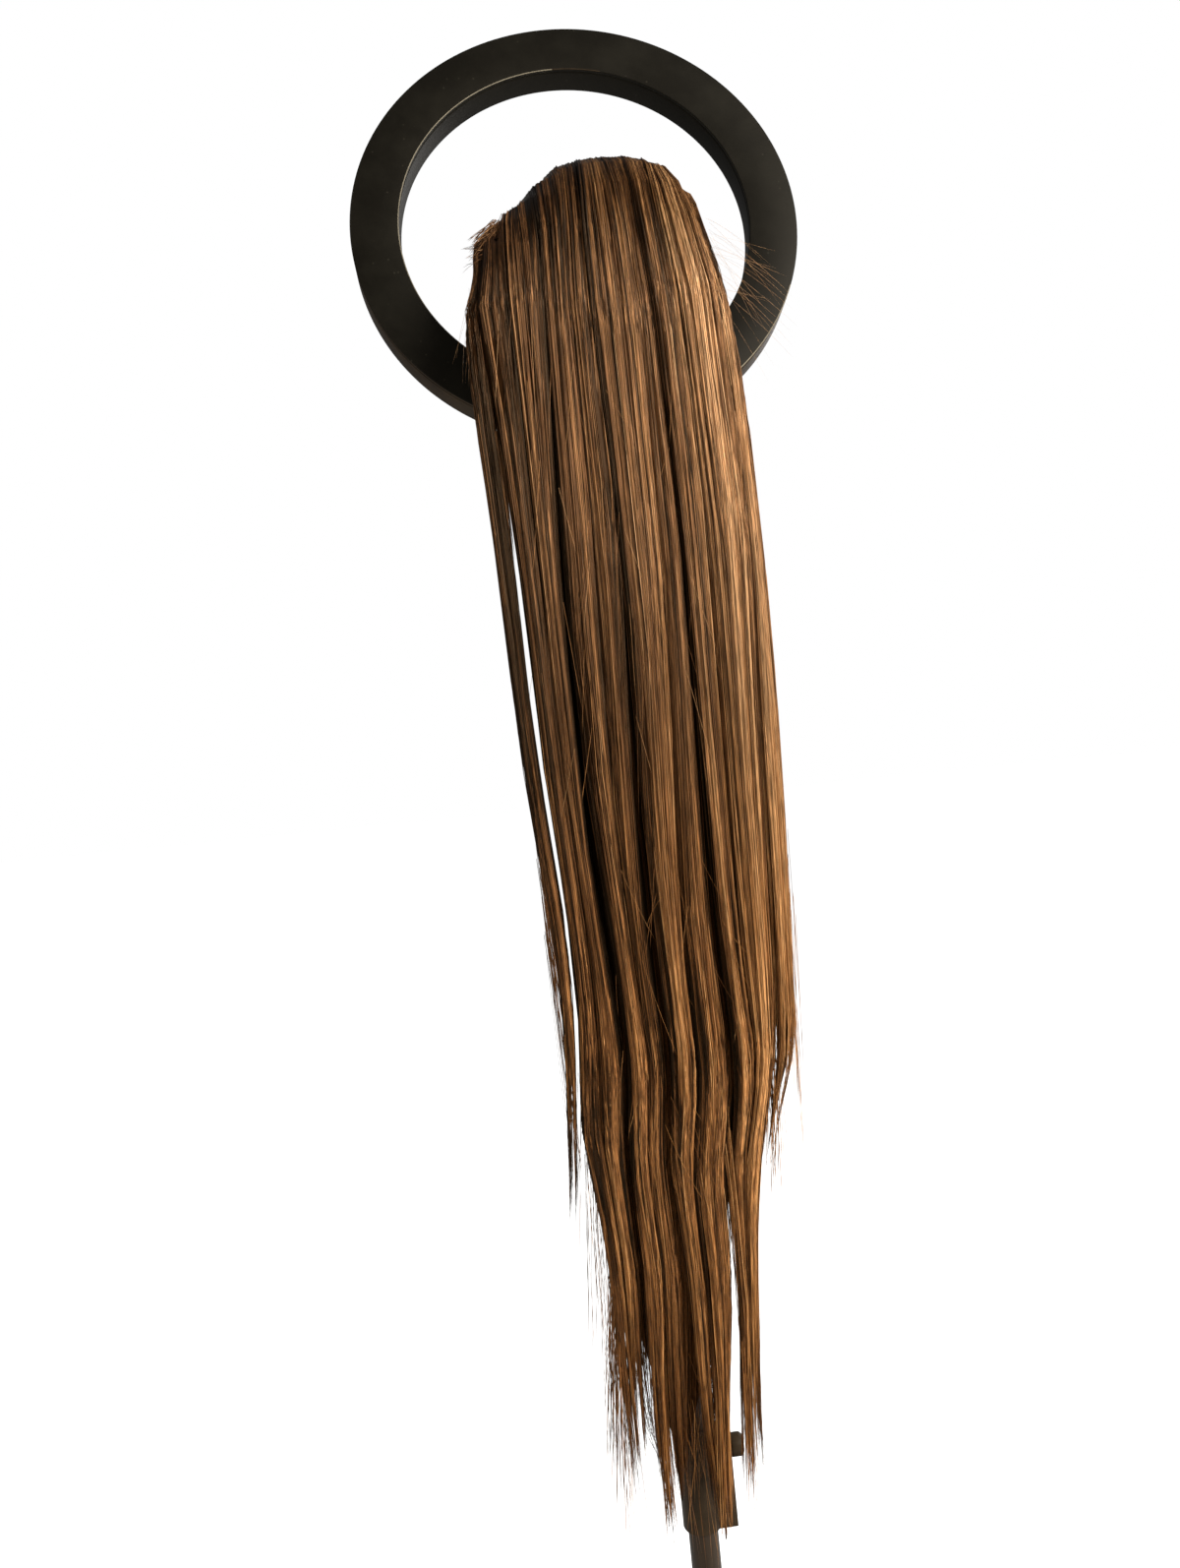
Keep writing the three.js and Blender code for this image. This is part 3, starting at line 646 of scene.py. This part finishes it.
def synthetic_fibre(name, gloss):
    material, tree, shader = new_material(name)
    for ramp_name, stops in (("tint", TINTS), ("drop", DROP_LIGHT_AND_DYE)):
        value = add_node(tree, "ShaderNodeAttribute", attribute_name=ramp_name).outputs["Fac"]
        ramp = add_node(tree, "ShaderNodeValToRGB", {"Fac": value}, name=ramp_name)
        for position, colour in stops[1:-1]:
            ramp.color_ramp.elements.new(position).color = linear(colour)
        ramp.color_ramp.elements[0].color = linear(stops[0][1])
        ramp.color_ramp.elements[-1].color = linear(stops[-1][1])
    tint, drop = (tree.nodes[ramp_name].outputs["Color"] for ramp_name in ("tint", "drop"))
    dyed = {"Factor": 1.0, "A": tint, "B": drop}
    colour = add_node(tree, "ShaderNodeMix", dyed, data_type="RGBA", blend_type="MULTIPLY")
    place = add_node(tree, "ShaderNodeTexCoord").outputs["Object"]
    # Flecks of painted sheen and uneven dye, drawn out along the fibre, brighten and darken its colour.
    drawn_out = {"Vector": place, "Scale": (1 / FLECK_WIDTH, 1 / FLECK_WIDTH, 1 / FLECK_LENGTH)}
    fleck_place = add_node(tree, "ShaderNodeMapping", drawn_out).outputs[0]
    flecks = add_node(tree, "ShaderNodeTexNoise", {"Vector": fleck_place, "Scale": 1.0, "Detail": 2.0})
    fleck_range = {"From Min": 0.3, "From Max": 0.7, "To Min": 0.5, "To Max": 1.5}
    fleck_dye_and_sheen = add_node(tree, "ShaderNodeMapRange", {"Value": flecks.outputs["Fac"], **fleck_range})
    flecked = {0: colour.outputs["Result"], "Scale": fleck_dye_and_sheen.outputs[0]}
    shaded = add_node(tree, "ShaderNodeVectorMath", flecked, operation="SCALE")
    tree.links.new(shaded.outputs[0], shader.inputs["Base Color"])
    shader.inputs["Roughness"].default_value = 0.36
    shader.inputs["IOR"].default_value = 1.54
    shader.inputs["Specular IOR Level"].default_value = gloss
    shader.inputs["Specular Tint"].default_value = linear("#f8c592")
    return material


fibre = synthetic_fibre("brown_synthetic_fibre", gloss=0.3)
shaded_fibre = synthetic_fibre("shaded_synthetic_fibre", gloss=0.06)

# The inside of each lock is one closed body, which the fibres lie on, painted dark as shade.
CORE_SIDES = 32
CORE_RINGS = 60
CORE_SHARE = 0.85
CORE_SHADE = 0.4
CORE_THINNING = 90
CORE_END = 0.03
INSIDE_SHADE_TINT = 0.05
LONGEST_DROP = 762


def drop_share(points):
    return (CROWN_Z - points[..., Z]) / LONGEST_DROP


def core_rings(stations, thins_from):
    """Rings of points along a lock's inside, which shrinks away where the lock thins."""
    at = np.linspace(0, len(stations) - 1, CORE_RINGS)
    drops = CROWN_Z - through(stations, at)[:, Z]
    share = CORE_SHARE * np.interp(drops, (thins_from, thins_from + CORE_THINNING), (1, CORE_END))
    around = np.linspace(0, math.tau, CORE_SIDES, endpoint=False)
    lines = on_lock(stations, np.tile(at, (CORE_SIDES, 1)), around[:, None], share[None])
    return lines.swapaxes(0, 1)


cores = [core_rings(front_stations(*ends), thins_from) for *ends, thins_from, _, _, _ in LOCKS]
for *ends, thins_from, behind, depth_share in BACK_LOCKS:
    cores.append(core_rings(back_stations(*ends, behind, depth_share), thins_from))
cores = np.array(cores)
# The cores are painted as shade: darker than their locks, and near black inside the back locks.
core_tints = [tint * CORE_SHADE for *_, tint, _, _ in LOCKS] + [INSIDE_SHADE_TINT * CORE_SHADE] * len(BACK_LOCKS)
core_tints = np.array(core_tints)[:, None] * np.ones(CORE_RINGS)
joined_tubes("hair_core", shaded_fibre, cores, tint=core_tints, drop=drop_share(cores.mean(2)))

# The fibres lie in narrow clumps that wander over and under each other. A drawn fibre stands for a few real
# ones, so that it shows.
STRANDS = 7250
STRAND_SIDES = 3
STRAND_STOPS = np.array([0, 0.55, 1, 1.5, 2.2, 3.0, 4.0, 5.3, 6.6, 7.6, 8.3, 9.0, 9.8, 10.7, 11.8, 13])
STRAND_RINGS = STRAND_STOPS / STRAND_STOPS[-1]
CROWN_STOPS = 2
STRAND_RADII = (0.14, 0.27)
STRAND_TAPER = 5
STRAND_TIP = 0.12
PATH_STEPS = 400
NARROWEST_LOCK = 9
# Clumps, their height above each other, and the tints along them.
CLUMP_WIDTH = 1.1
FEWEST_CLUMPS = 10
CLUMP_SIZES = (0.5, 1.6)
CLUMP_KNOTS = 10
CLUMP_TINTS = 0.15
BAND_CLUMPS = 4
BAND_TINTS = 0.05
DARK_CLUMPS = 2
DARK_SPELLS = 0.24
DARK_SPELL_TINT = -0.42
CLUMP_RELIEF = (0.86, 1.0)
CROWN_RELIEF = 0.12
# A fibre's tint, with painted shade towards the sides of its clump, and its place in its clump.
STRAND_TINTS = 0.19
ASIDE = 0.36
MOST_ASIDE = 0.7
ASIDE_SHADE_TINT = -0.3
ASIDE_DIP = 0.1
SUNKEN = 0.015
WANDER = 0.06
WEAVE = 0.03
RELIEF_GROWS = 6
# The sides of a lock, where it meets the next, darkened with painted shade that opens and fades on the way
# down.
BEHIND = math.radians(112)
VALLEY = (math.radians(34), math.radians(66))
VALLEY_SHADE_TINT = -0.75
FOLD_VALLEY = 0.16
LEAST_VALLEY = 0.97
VALLEY_FADE = ((0.64, 0.8), (1, 0.35))
VALLEY_BEHIND = 0.2
WIDEST_GAP = 7
# How fibres and clumps stray, wave and slide.
DRIFT = 0.07
DRIFT_FROM = 0.3
STRAYS = 0.03
STRAY_DRIFT = 8
STRAY_LIFT = 0.1
WAVES = (8, 13, 10)
FLUTTER = (12, 26)
SLIDE_GROWS = 5
SLIDE_DELAY = 0.6
CLUMP_SLIDE = 0.5
EDGE_SLIDE = 1.1
STRAND_SLIDE = 0.4
# The ends, where clumps gather in wisps.
LEAST_WISP = 2.8
WISP_CLUMPS = 6
WISP_PULL = 0.85
WISP_SHARPNESS = 6
WISP_DROPS = (0.2, 1)
END_VARIETY = 38
THINNED = 0.35
THINNED_POWER = 0.7

rng = np.random.default_rng(26)


def strand_rings(paths, radii):
    """Three-sided tubes around paths of points, thinning to a point at the end."""
    across, outward = frames(paths)
    taper = np.clip((1 - np.linspace(0, 1, paths.shape[1])) * STRAND_TAPER + STRAND_TIP, 0, 1)
    side = rng.uniform(0, math.tau, (len(paths), 1)) + np.arange(STRAND_SIDES) * math.tau / STRAND_SIDES
    sizes = (radii[:, None] * taper)[..., None, None]
    ring_across = across[:, :, None] * np.cos(side)[:, None, :, None]
    ring_outward = outward[:, :, None] * np.sin(side)[:, None, :, None]
    return paths[:, :, None] + (ring_across + ring_outward) * sizes


def along(knots, which, share):
    """A value that changes smoothly along each fibre, from the row of knots of its clump."""
    at = np.clip(share, 0, 1) * (knots.shape[1] - 1)
    i = np.minimum(at.astype(int), knots.shape[1] - 2)
    f = at - i
    f = f * f * (3 - 2 * f)
    rows = which[:, None]
    return knots[rows, i] * (1 - f) + knots[rows, i + 1] * f


def strands(name, material, count, stations, partings, tip_drop, thins_from, tint, changes, cover, variety=1):
    """One mesh of a lock's fibres, whose tint takes the changes at TINT_DROPS.

    cover is how densely they lie on the lock's front and on its back.
    """
    left, right = (PARTINGS[parting] for parting in partings)
    clumps = max(FEWEST_CLUMPS, round(math.pi * (right["upper"] - left["upper"]) / CLUMP_WIDTH))
    sizes = rng.uniform(*CLUMP_SIZES, clumps)
    sizes *= math.tau / sizes.sum()
    angles = (np.cumsum(sizes) - sizes / 2 + math.pi) % math.tau - math.pi
    knots = (clumps, CLUMP_KNOTS)
    dark = np.where(rng.random(knots) < DARK_SPELLS, DARK_SPELL_TINT, -DARK_SPELL_TINT * DARK_SPELLS)
    dark = np.repeat(dark, DARK_CLUMPS, 0)[:clumps]
    bands = np.repeat(rng.normal(0, BAND_TINTS, knots), BAND_CLUMPS, 0)[:clumps]
    clump_tints = rng.normal(0, CLUMP_TINTS, knots) + dark + bands
    heights = clump_tints.mean(1) + rng.normal(0, CLUMP_TINTS / 2, clumps)
    reaches = np.interp(heights, (heights.min(), heights.max()), CLUMP_RELIEF)
    phases = rng.uniform(0, math.tau, (len(WAVES), clumps))
    wisp = np.arange(clumps) // WISP_CLUMPS
    wisp_drops = thins_from + (tip_drop - thins_from) * rng.uniform(*WISP_DROPS, clumps)
    wisp_angles = angles[np.minimum(wisp * WISP_CLUMPS + WISP_CLUMPS // 2, clumps - 1)]
    towards_wisp = (wisp_angles - angles + math.pi) % math.tau - math.pi
    weights = np.where(np.abs(angles) > BEHIND, cover[1], cover[0]) * sizes
    clump = rng.choice(clumps, count, p=weights / weights.sum())

    aside = np.clip(rng.normal(0, ASIDE, count), -MOST_ASIDE, MOST_ASIDE)
    stray = rng.random(count) < STRAYS
    thinned = rng.random(count) < THINNED
    end_drops = wisp_drops[wisp[clump]] - np.abs(rng.normal(0, END_VARIETY, count))
    thinned_drops = thins_from + (tip_drop - thins_from) * rng.uniform(0, 1, count) ** THINNED_POWER
    end_drops = np.where(thinned, thinned_drops, end_drops)
    fine = np.linspace(0, len(stations) - 1, PATH_STEPS)
    ends = np.interp(end_drops, np.maximum.accumulate(CROWN_Z - through(stations, fine)[:, Z]), fine)
    stretch = (ends - CROWN_STOPS) / (STRAND_STOPS[-1] - CROWN_STOPS)
    below_crown = CROWN_STOPS + (STRAND_STOPS - CROWN_STOPS) * stretch[:, None]
    at = np.where(STRAND_STOPS < CROWN_STOPS, STRAND_STOPS, below_crown)

    share = at / (len(stations) - 1)
    wander, weave, part = (
        np.sin(phase[clump][:, None] + rate * share) for phase, rate in zip(phases, WAVES)
    )
    drift = rng.normal(0, DRIFT, count) * np.where(stray, STRAY_DRIFT, 1)
    pull = WISP_PULL * STRAND_RINGS**WISP_SHARPNESS
    angle = angles[clump][:, None] + (aside * sizes[clump])[:, None] * (1 - pull)
    angle = angle + towards_wisp[clump][:, None] * pull
    angle = angle + WANDER * wander + drift[:, None] * (share - DRIFT_FROM)
    reach = reaches[clump] - ASIDE_DIP * aside**2 - np.abs(rng.normal(0, SUNKEN, count))
    reach = reach + np.where(stray, rng.uniform(0, STRAY_LIFT, count), 0)
    reach = 1 + (reach[:, None] - 1 + WEAVE * weave) * np.clip(share * RELIEF_GROWS, CROWN_RELIEF, 1)
    outer = (np.abs(angles) > VALLEY[0]) & (np.abs(angles) < BEHIND)
    gaps = np.where(angles > 0, right["gap"], left["gap"]) / WIDEST_GAP
    slides = np.abs(rng.normal(0, EDGE_SLIDE, clumps)) * np.sign(angles) * gaps
    slides = np.where(outer, slides, rng.normal(0, CLUMP_SLIDE, clumps))
    phase = rng.uniform(0, math.tau, count)[:, None]
    flutter = np.sin(phase + rng.uniform(*FLUTTER, count)[:, None] * share)
    slide = rng.normal(0, STRAND_SLIDE, count)[:, None] * flutter
    slide = slides[clump][:, None] * np.maximum(part, 0) + slide
    slide = slide * np.clip(share * SLIDE_GROWS - SLIDE_DELAY, 0, 1)
    paths = on_lock(stations, at, angle, reach, LEAST_WISP, slide)

    # Painted shade on the sides of each lock that face the next one, and a little on its back.
    deep = FOLD_VALLEY + (1 - FOLD_VALLEY) * gaps
    deep = deep * np.clip((np.abs(angles) - VALLEY[0]) / (VALLEY[1] - VALLEY[0]), 0, 1)
    deep = np.where(np.abs(angles) > BEHIND, VALLEY_BEHIND, deep)
    level_drops, _, _, level_open, _, _ = zip(*LEVELS.values())
    opened = np.interp(CROWN_Z - paths[..., Z], level_drops, np.clip(level_open, LEAST_VALLEY, 1))
    # Fibres towards the sides of their clump are painted darker as shade.
    tints = rng.normal(0, STRAND_TINTS, count) + ASIDE_SHADE_TINT * aside**2
    drops = drop_share(paths)
    tints = tint + (tints[:, None] + along(clump_tints, clump, share)) * variety
    tints = tints + np.interp(drops, TINT_DROPS, changes)
    tints = tints + VALLEY_SHADE_TINT * deep[clump][:, None] * opened * np.interp(drops, *VALLEY_FADE)
    tubes = strand_rings(paths, rng.uniform(*STRAND_RADII, count))
    joined_tubes(name, material, tubes, tint=np.clip(tints, 0, 1), drop=drops)


widths = [PARTINGS[right]["shoulder"] - PARTINGS[left]["shoulder"] for left, right, *_ in LOCKS]
widths = np.maximum(widths, NARROWEST_LOCK)
for number, (left, right, tip_x, tip_drop, thins_from, *tints, rear) in enumerate(LOCKS):
    strands(
        f"hair_lock_{number}", fibre, round(STRANDS * widths[number] / widths.sum()),
        front_stations(left, right, tip_x, tip_drop), (left, right), tip_drop, thins_from, *tints, (1, rear),
    )

BACK_STRANDS = (640, 320)
BACK_VARIETY = 0.3
REAR_TINT = 0.42
INSIDE = (0, 0, 0, 0.03, 0.37)
# The inside fibres of the back locks are painted near black as shade, paler towards the ends; the rear fibres
# are coloured as usual.
for number, (left, right, tip_x, tip_drop, thins_from, *set_back) in enumerate(BACK_LOCKS):
    stations = back_stations(left, right, tip_x, tip_drop, *set_back)
    common = stations, (left, right), tip_drop, thins_from
    count = BACK_STRANDS[number]
    strands(f"hair_inside_{number}", shaded_fibre, count, *common, INSIDE_SHADE_TINT, INSIDE, (1, 0), BACK_VARIETY)
    strands(f"hair_rear_{number}", fibre, count, *common, REAR_TINT, BETWEEN, (0, 1))

# Loose hairs: short ends that stand out of the left shoulder, fringes and wisps where the locks end, hairs
# that cross the partings or close the end of a slit, and single hairs that have come away.
LOOSE_RINGS = 7
LOOSE_SIZES = (0.6, 1)
LOOSE_LEAST_DROP = 0.12
LOOSE_SPREAD = 1.7
LOOSE_HAIRS = [
    # name, count, start and its spread, reach and its spread, bend (x, y, z), thickest, tint
    ("tuft", 100, (-50, -23, 871), (4, 4, 3), (-9, -3, -2), (2.5, 2, 2.5), (0, 0, -5), 0.15, 0.42),
    ("over_corner", 170, (-45, -28, 881), (3, 1.5, 2), (-12, -1, -9), (2, 1, 1.5), (1, 0, -5), 0.22, 0.36),
    ("loose_right", 26, (68, -22, 862), (2, 4, 13), (37, 16, -20), (7, 7, 12), (4, 0, -20), 0.045, 1.0),
    ("loose_left", 12, (-65, -22, 838), (1, 3, 7), (-9, 8, -38), (5, 4, 9), (7, 0, -8), 0.065, 1.0),
    ("fringe_left", 60, (-57.5, -36, 555), (0.8, 3, 38), (5, 0, -110), (1.8, 2, 30), (0, 0, 0), 0.18, 0.28),
    ("fringe_right", 70, (75.5, -35, 560), (0.8, 4, 38), (-5, 1, -105), (1.8, 2, 28), (-2, 0, 0), 0.18, 0.7),
    ("wisps_left", 50, (-43, -32, 385), (3, 3, 28), (-6, 1, -110), (5, 3, 28), (4, 0, 0), 0.14, 0.4),
    ("wisps_tail", 80, (-38, -31, 295), (2, 3, 22), (-4, 1, -84), (4, 3, 22), (0, 0, 0), 0.17, 0.45),
    ("wisps_right", 90, (54, -35, 440), (5, 3, 18), (-5, 1, -60), (4, 3, 18), (-3, 0, 0), 0.22, 0.65),
    ("wisps_outer", 30, (-40, -31, 300), (1.2, 2, 10), (-9, 0, -92), (1.5, 1, 12), (0, 0, 0), 0.2, 0.42),
    ("wisps_inner", 40, (-36.5, -31, 285), (1.2, 2, 8), (0.5, 0, -75), (1, 1, 10), (0, 0, 0), 0.2, 0.42),
    ("wisps_low", 50, (-19, -30, 262), (1.6, 2, 8), (-2, 0, -85), (1.2, 1, 10), (0, 0, 0), 0.22, 0.5),
    ("wisps_collar", 90, (15, -30, 262), (1.8, 2, 8), (-5, 0, -80), (1.2, 1, 12), (0, 0, 0), 0.26, 0.75),
    ("wisps_outside", 40, (29, -30, 262), (1.6, 2, 8), (-4.5, 0, -72), (1.6, 1, 10), (0, 0, 0), 0.2, 0.6),
    ("wisps_end", 30, (-5, -25, 240), (7, 3, 14), (0, 3, -70), (9, 3, 16), (0, 0, 0), 0.12, 0.8),
    ("slit_side", 70, (30.5, -31, 385), (0.8, 3, 14), (-1.5, 1, -105), (1.1, 2, 22), (0, 0, 0), 0.2, 0.6),
    ("slit_top", 60, (27.5, -32, 392), (1.2, 2, 10), (1.5, 1, -55), (1.6, 2, 20), (0, 0, 0), 0.18, 0.5),
    ("crossing_high", 70, (8, -46, 720), (36, 0.4, 80), (0, 0, -45), (7, 0.6, 14), (0, 0, 0), 0.13, 0.65),
    ("crossing_low", 50, (6, -43.3, 450), (22, 0.4, 50), (0, 1.5, -38), (9, 0.6, 14), (6, 0, 0), 0.1, 0.6),
    ("slit_left", 50, (-58.2, -38, 766), (0.7, 2, 4), (2.2, 0, -46), (0.4, 1, 14), (0, 0, 0), 0.2, 0.3),
]
rings_along = np.linspace(0, 1, LOOSE_RINGS)[None, :, None]
for name, count, start, start_spread, reach, reach_spread, bend, thickest, tint in LOOSE_HAIRS:
    starts, reaches = (
        (rng.uniform(-LOOSE_SPREAD, LOOSE_SPREAD, (count, 3)) * spread + middle)[:, None]
        for middle, spread in ((start, start_spread), (reach, reach_spread))
    )
    bends = (rng.uniform(0, 1, (count, 1)) * np.array(bend))[:, None]
    paths = starts + reaches * rings_along + bends * rings_along**2
    tints = np.clip(rng.normal(tint, STRAND_TINTS, (count, 1)), 0, 1) * np.ones(LOOSE_RINGS)
    tubes = strand_rings(paths, rng.uniform(*LOOSE_SIZES, count) * thickest)
    # Loose hairs take at least the painted light of the shoulder.
    drops = np.maximum(drop_share(paths), LOOSE_LEAST_DROP)
    joined_tubes(f"hair_{name}", fibre, tubes, tint=tints, drop=drops)


# The cap: the base that the hair is sewn to, in rows of machine-sewn weft on a woven backing with a bound
# edge. The clip is stitched to the middle of it.

CAP_MIDDLE = (5, 868)
CAP_HALF = (51, 49)
CAP_PLATE = (-7.2, -4.8)
CAP_BELOW_CROWN = 7
CAP_ARC_STEPS = 24
CAP_BINDING = 3.5
CAP_BINDING_DEPTH = 0.9
CAP_STEP = 0.4
CAP_TOP_SHIFT = 2
FACING_BACK = 0.9
THREAD_SPACING = 1.3 * MM

crown_line = sorted({(p["crown"], CROWN_Z - p["crown_drop"] - CAP_BELOW_CROWN) for p in PARTINGS.values()})
crown_line = np.array(crown_line)
top_middle = CAP_MIDDLE[0] - CAP_TOP_SHIFT
top_x = np.linspace(top_middle + CAP_HALF[0], top_middle - CAP_HALF[0], CAP_ARC_STEPS)
top = np.stack([top_x, np.interp(top_x, *crown_line.T)], -1)
under = np.linspace(math.pi, math.tau, CAP_ARC_STEPS)
bottom = np.stack([np.cos(under), np.sin(under)], -1) * CAP_HALF + CAP_MIDDLE
cap_outline = np.concatenate([top, bottom])

cap = bmesh.new()
plate = cap.faces.new([cap.verts.new((x * MM, CAP_PLATE[0] * MM, z * MM)) for x, z in cap_outline])
wall = bmesh.ops.extrude_face_region(cap, geom=[plate])["geom"]
raised = [v for v in wall if isinstance(v, bmesh.types.BMVert)]
bmesh.ops.translate(cap, verts=raised, vec=(0, (CAP_PLATE[1] - CAP_PLATE[0] + CAP_BINDING_DEPTH) * MM, 0))
bmesh.ops.recalc_face_normals(cap, faces=list(cap.faces))
rear = [f for f in cap.faces if f.normal.y > FACING_BACK]
bmesh.ops.inset_region(cap, faces=rear, thickness=CAP_BINDING * MM, use_even_offset=True)
rear = max((f for f in cap.faces if f.normal.y > FACING_BACK), key=lambda f: f.calc_area())
bmesh.ops.inset_region(
    cap, faces=[rear], thickness=CAP_STEP * MM, depth=-CAP_BINDING_DEPTH * MM, use_even_offset=True
)

woven, tree, shader = new_material("woven_nylon_backing")
place = add_node(tree, "ShaderNodeTexCoord").outputs["Object"]
threads = []
for direction in ("X", "Z"):
    weave = {"Vector": place, "Scale": 1 / (THREAD_SPACING * math.tau / 2)}
    threads.append(add_node(tree, "ShaderNodeTexWave", weave, bands_direction=direction).outputs["Fac"])
crossed = add_node(tree, "ShaderNodeMath", {0: threads[0], 1: threads[1]}, operation="MULTIPLY")
dyed = {"Factor": crossed.outputs[0], "A": linear("#1c120b"), "B": linear("#43301f")}
cloth = add_node(tree, "ShaderNodeMix", dyed, data_type="RGBA")
tree.links.new(cloth.outputs["Result"], shader.inputs["Base Color"])
shader.inputs["Roughness"].default_value = 0.8
shader.inputs["Specular IOR Level"].default_value = 0.2
knobbly = {"Height": crossed.outputs[0], "Strength": 0.5, "Distance": 0.3 * MM}
relief = add_node(tree, "ShaderNodeBump", knobbly)
tree.links.new(relief.outputs[0], shader.inputs["Normal"])
finished("hair_cap", cap, woven, "hair_fibre", "hair")

WEFT_SPACING = 8
WEFT_LOWEST = 8
WEFT_RADIUS = 0.8
WEFT_RIPPLE = 0.25
WEFT_INSIDE = 4.5
WEFT_ROUND = 0.8
WEFT_RAISED = 0.3
WEFT_RINGS = 40
WEFT_SIDES = 6
WEFT_STOPS = np.arange(-56, 58, 0.5)
WEFT_TINT = 0.25
WEFT_DROP = 0.3

weft_rows = []
lowest = CAP_MIDDLE[1] - CAP_HALF[1] + WEFT_LOWEST
across = (WEFT_STOPS - CAP_MIDDLE[0]) / CAP_HALF[0]
for z in np.arange(lowest, CROWN_Z - CAP_BELOW_CROWN - WEFT_INSIDE, WEFT_SPACING):
    above_middle = (z - CAP_MIDDLE[1]) / CAP_HALF[1]
    inside = z < np.interp(WEFT_STOPS, *crown_line.T) - WEFT_INSIDE
    inside &= (above_middle > 0) | (across**2 + above_middle**2 < WEFT_ROUND)
    inside &= np.abs(WEFT_STOPS - CAP_MIDDLE[0]) < CAP_HALF[0] - WEFT_INSIDE
    ends = [(x, CAP_PLATE[1] + WEFT_RAISED, z) for x in WEFT_STOPS[inside][[0, -1]]]
    weft_rows.append(np.linspace(*ends, WEFT_RINGS))
paths = np.array(weft_rows)
side = np.arange(WEFT_SIDES) * math.tau / WEFT_SIDES
ripple = WEFT_RADIUS * (1 + WEFT_RIPPLE * np.cos(np.arange(WEFT_RINGS) * math.pi))
circle = np.stack([np.zeros(WEFT_SIDES), np.cos(side), np.sin(side)], -1)
tubes = paths[:, :, None] + ripple[None, :, None, None] * circle
tints, drops = (np.full(paths.shape[:2], value) for value in (WEFT_TINT, WEFT_DROP))
joined_tubes("hair_wefts", shaded_fibre, tubes, tint=tints, drop=drops)
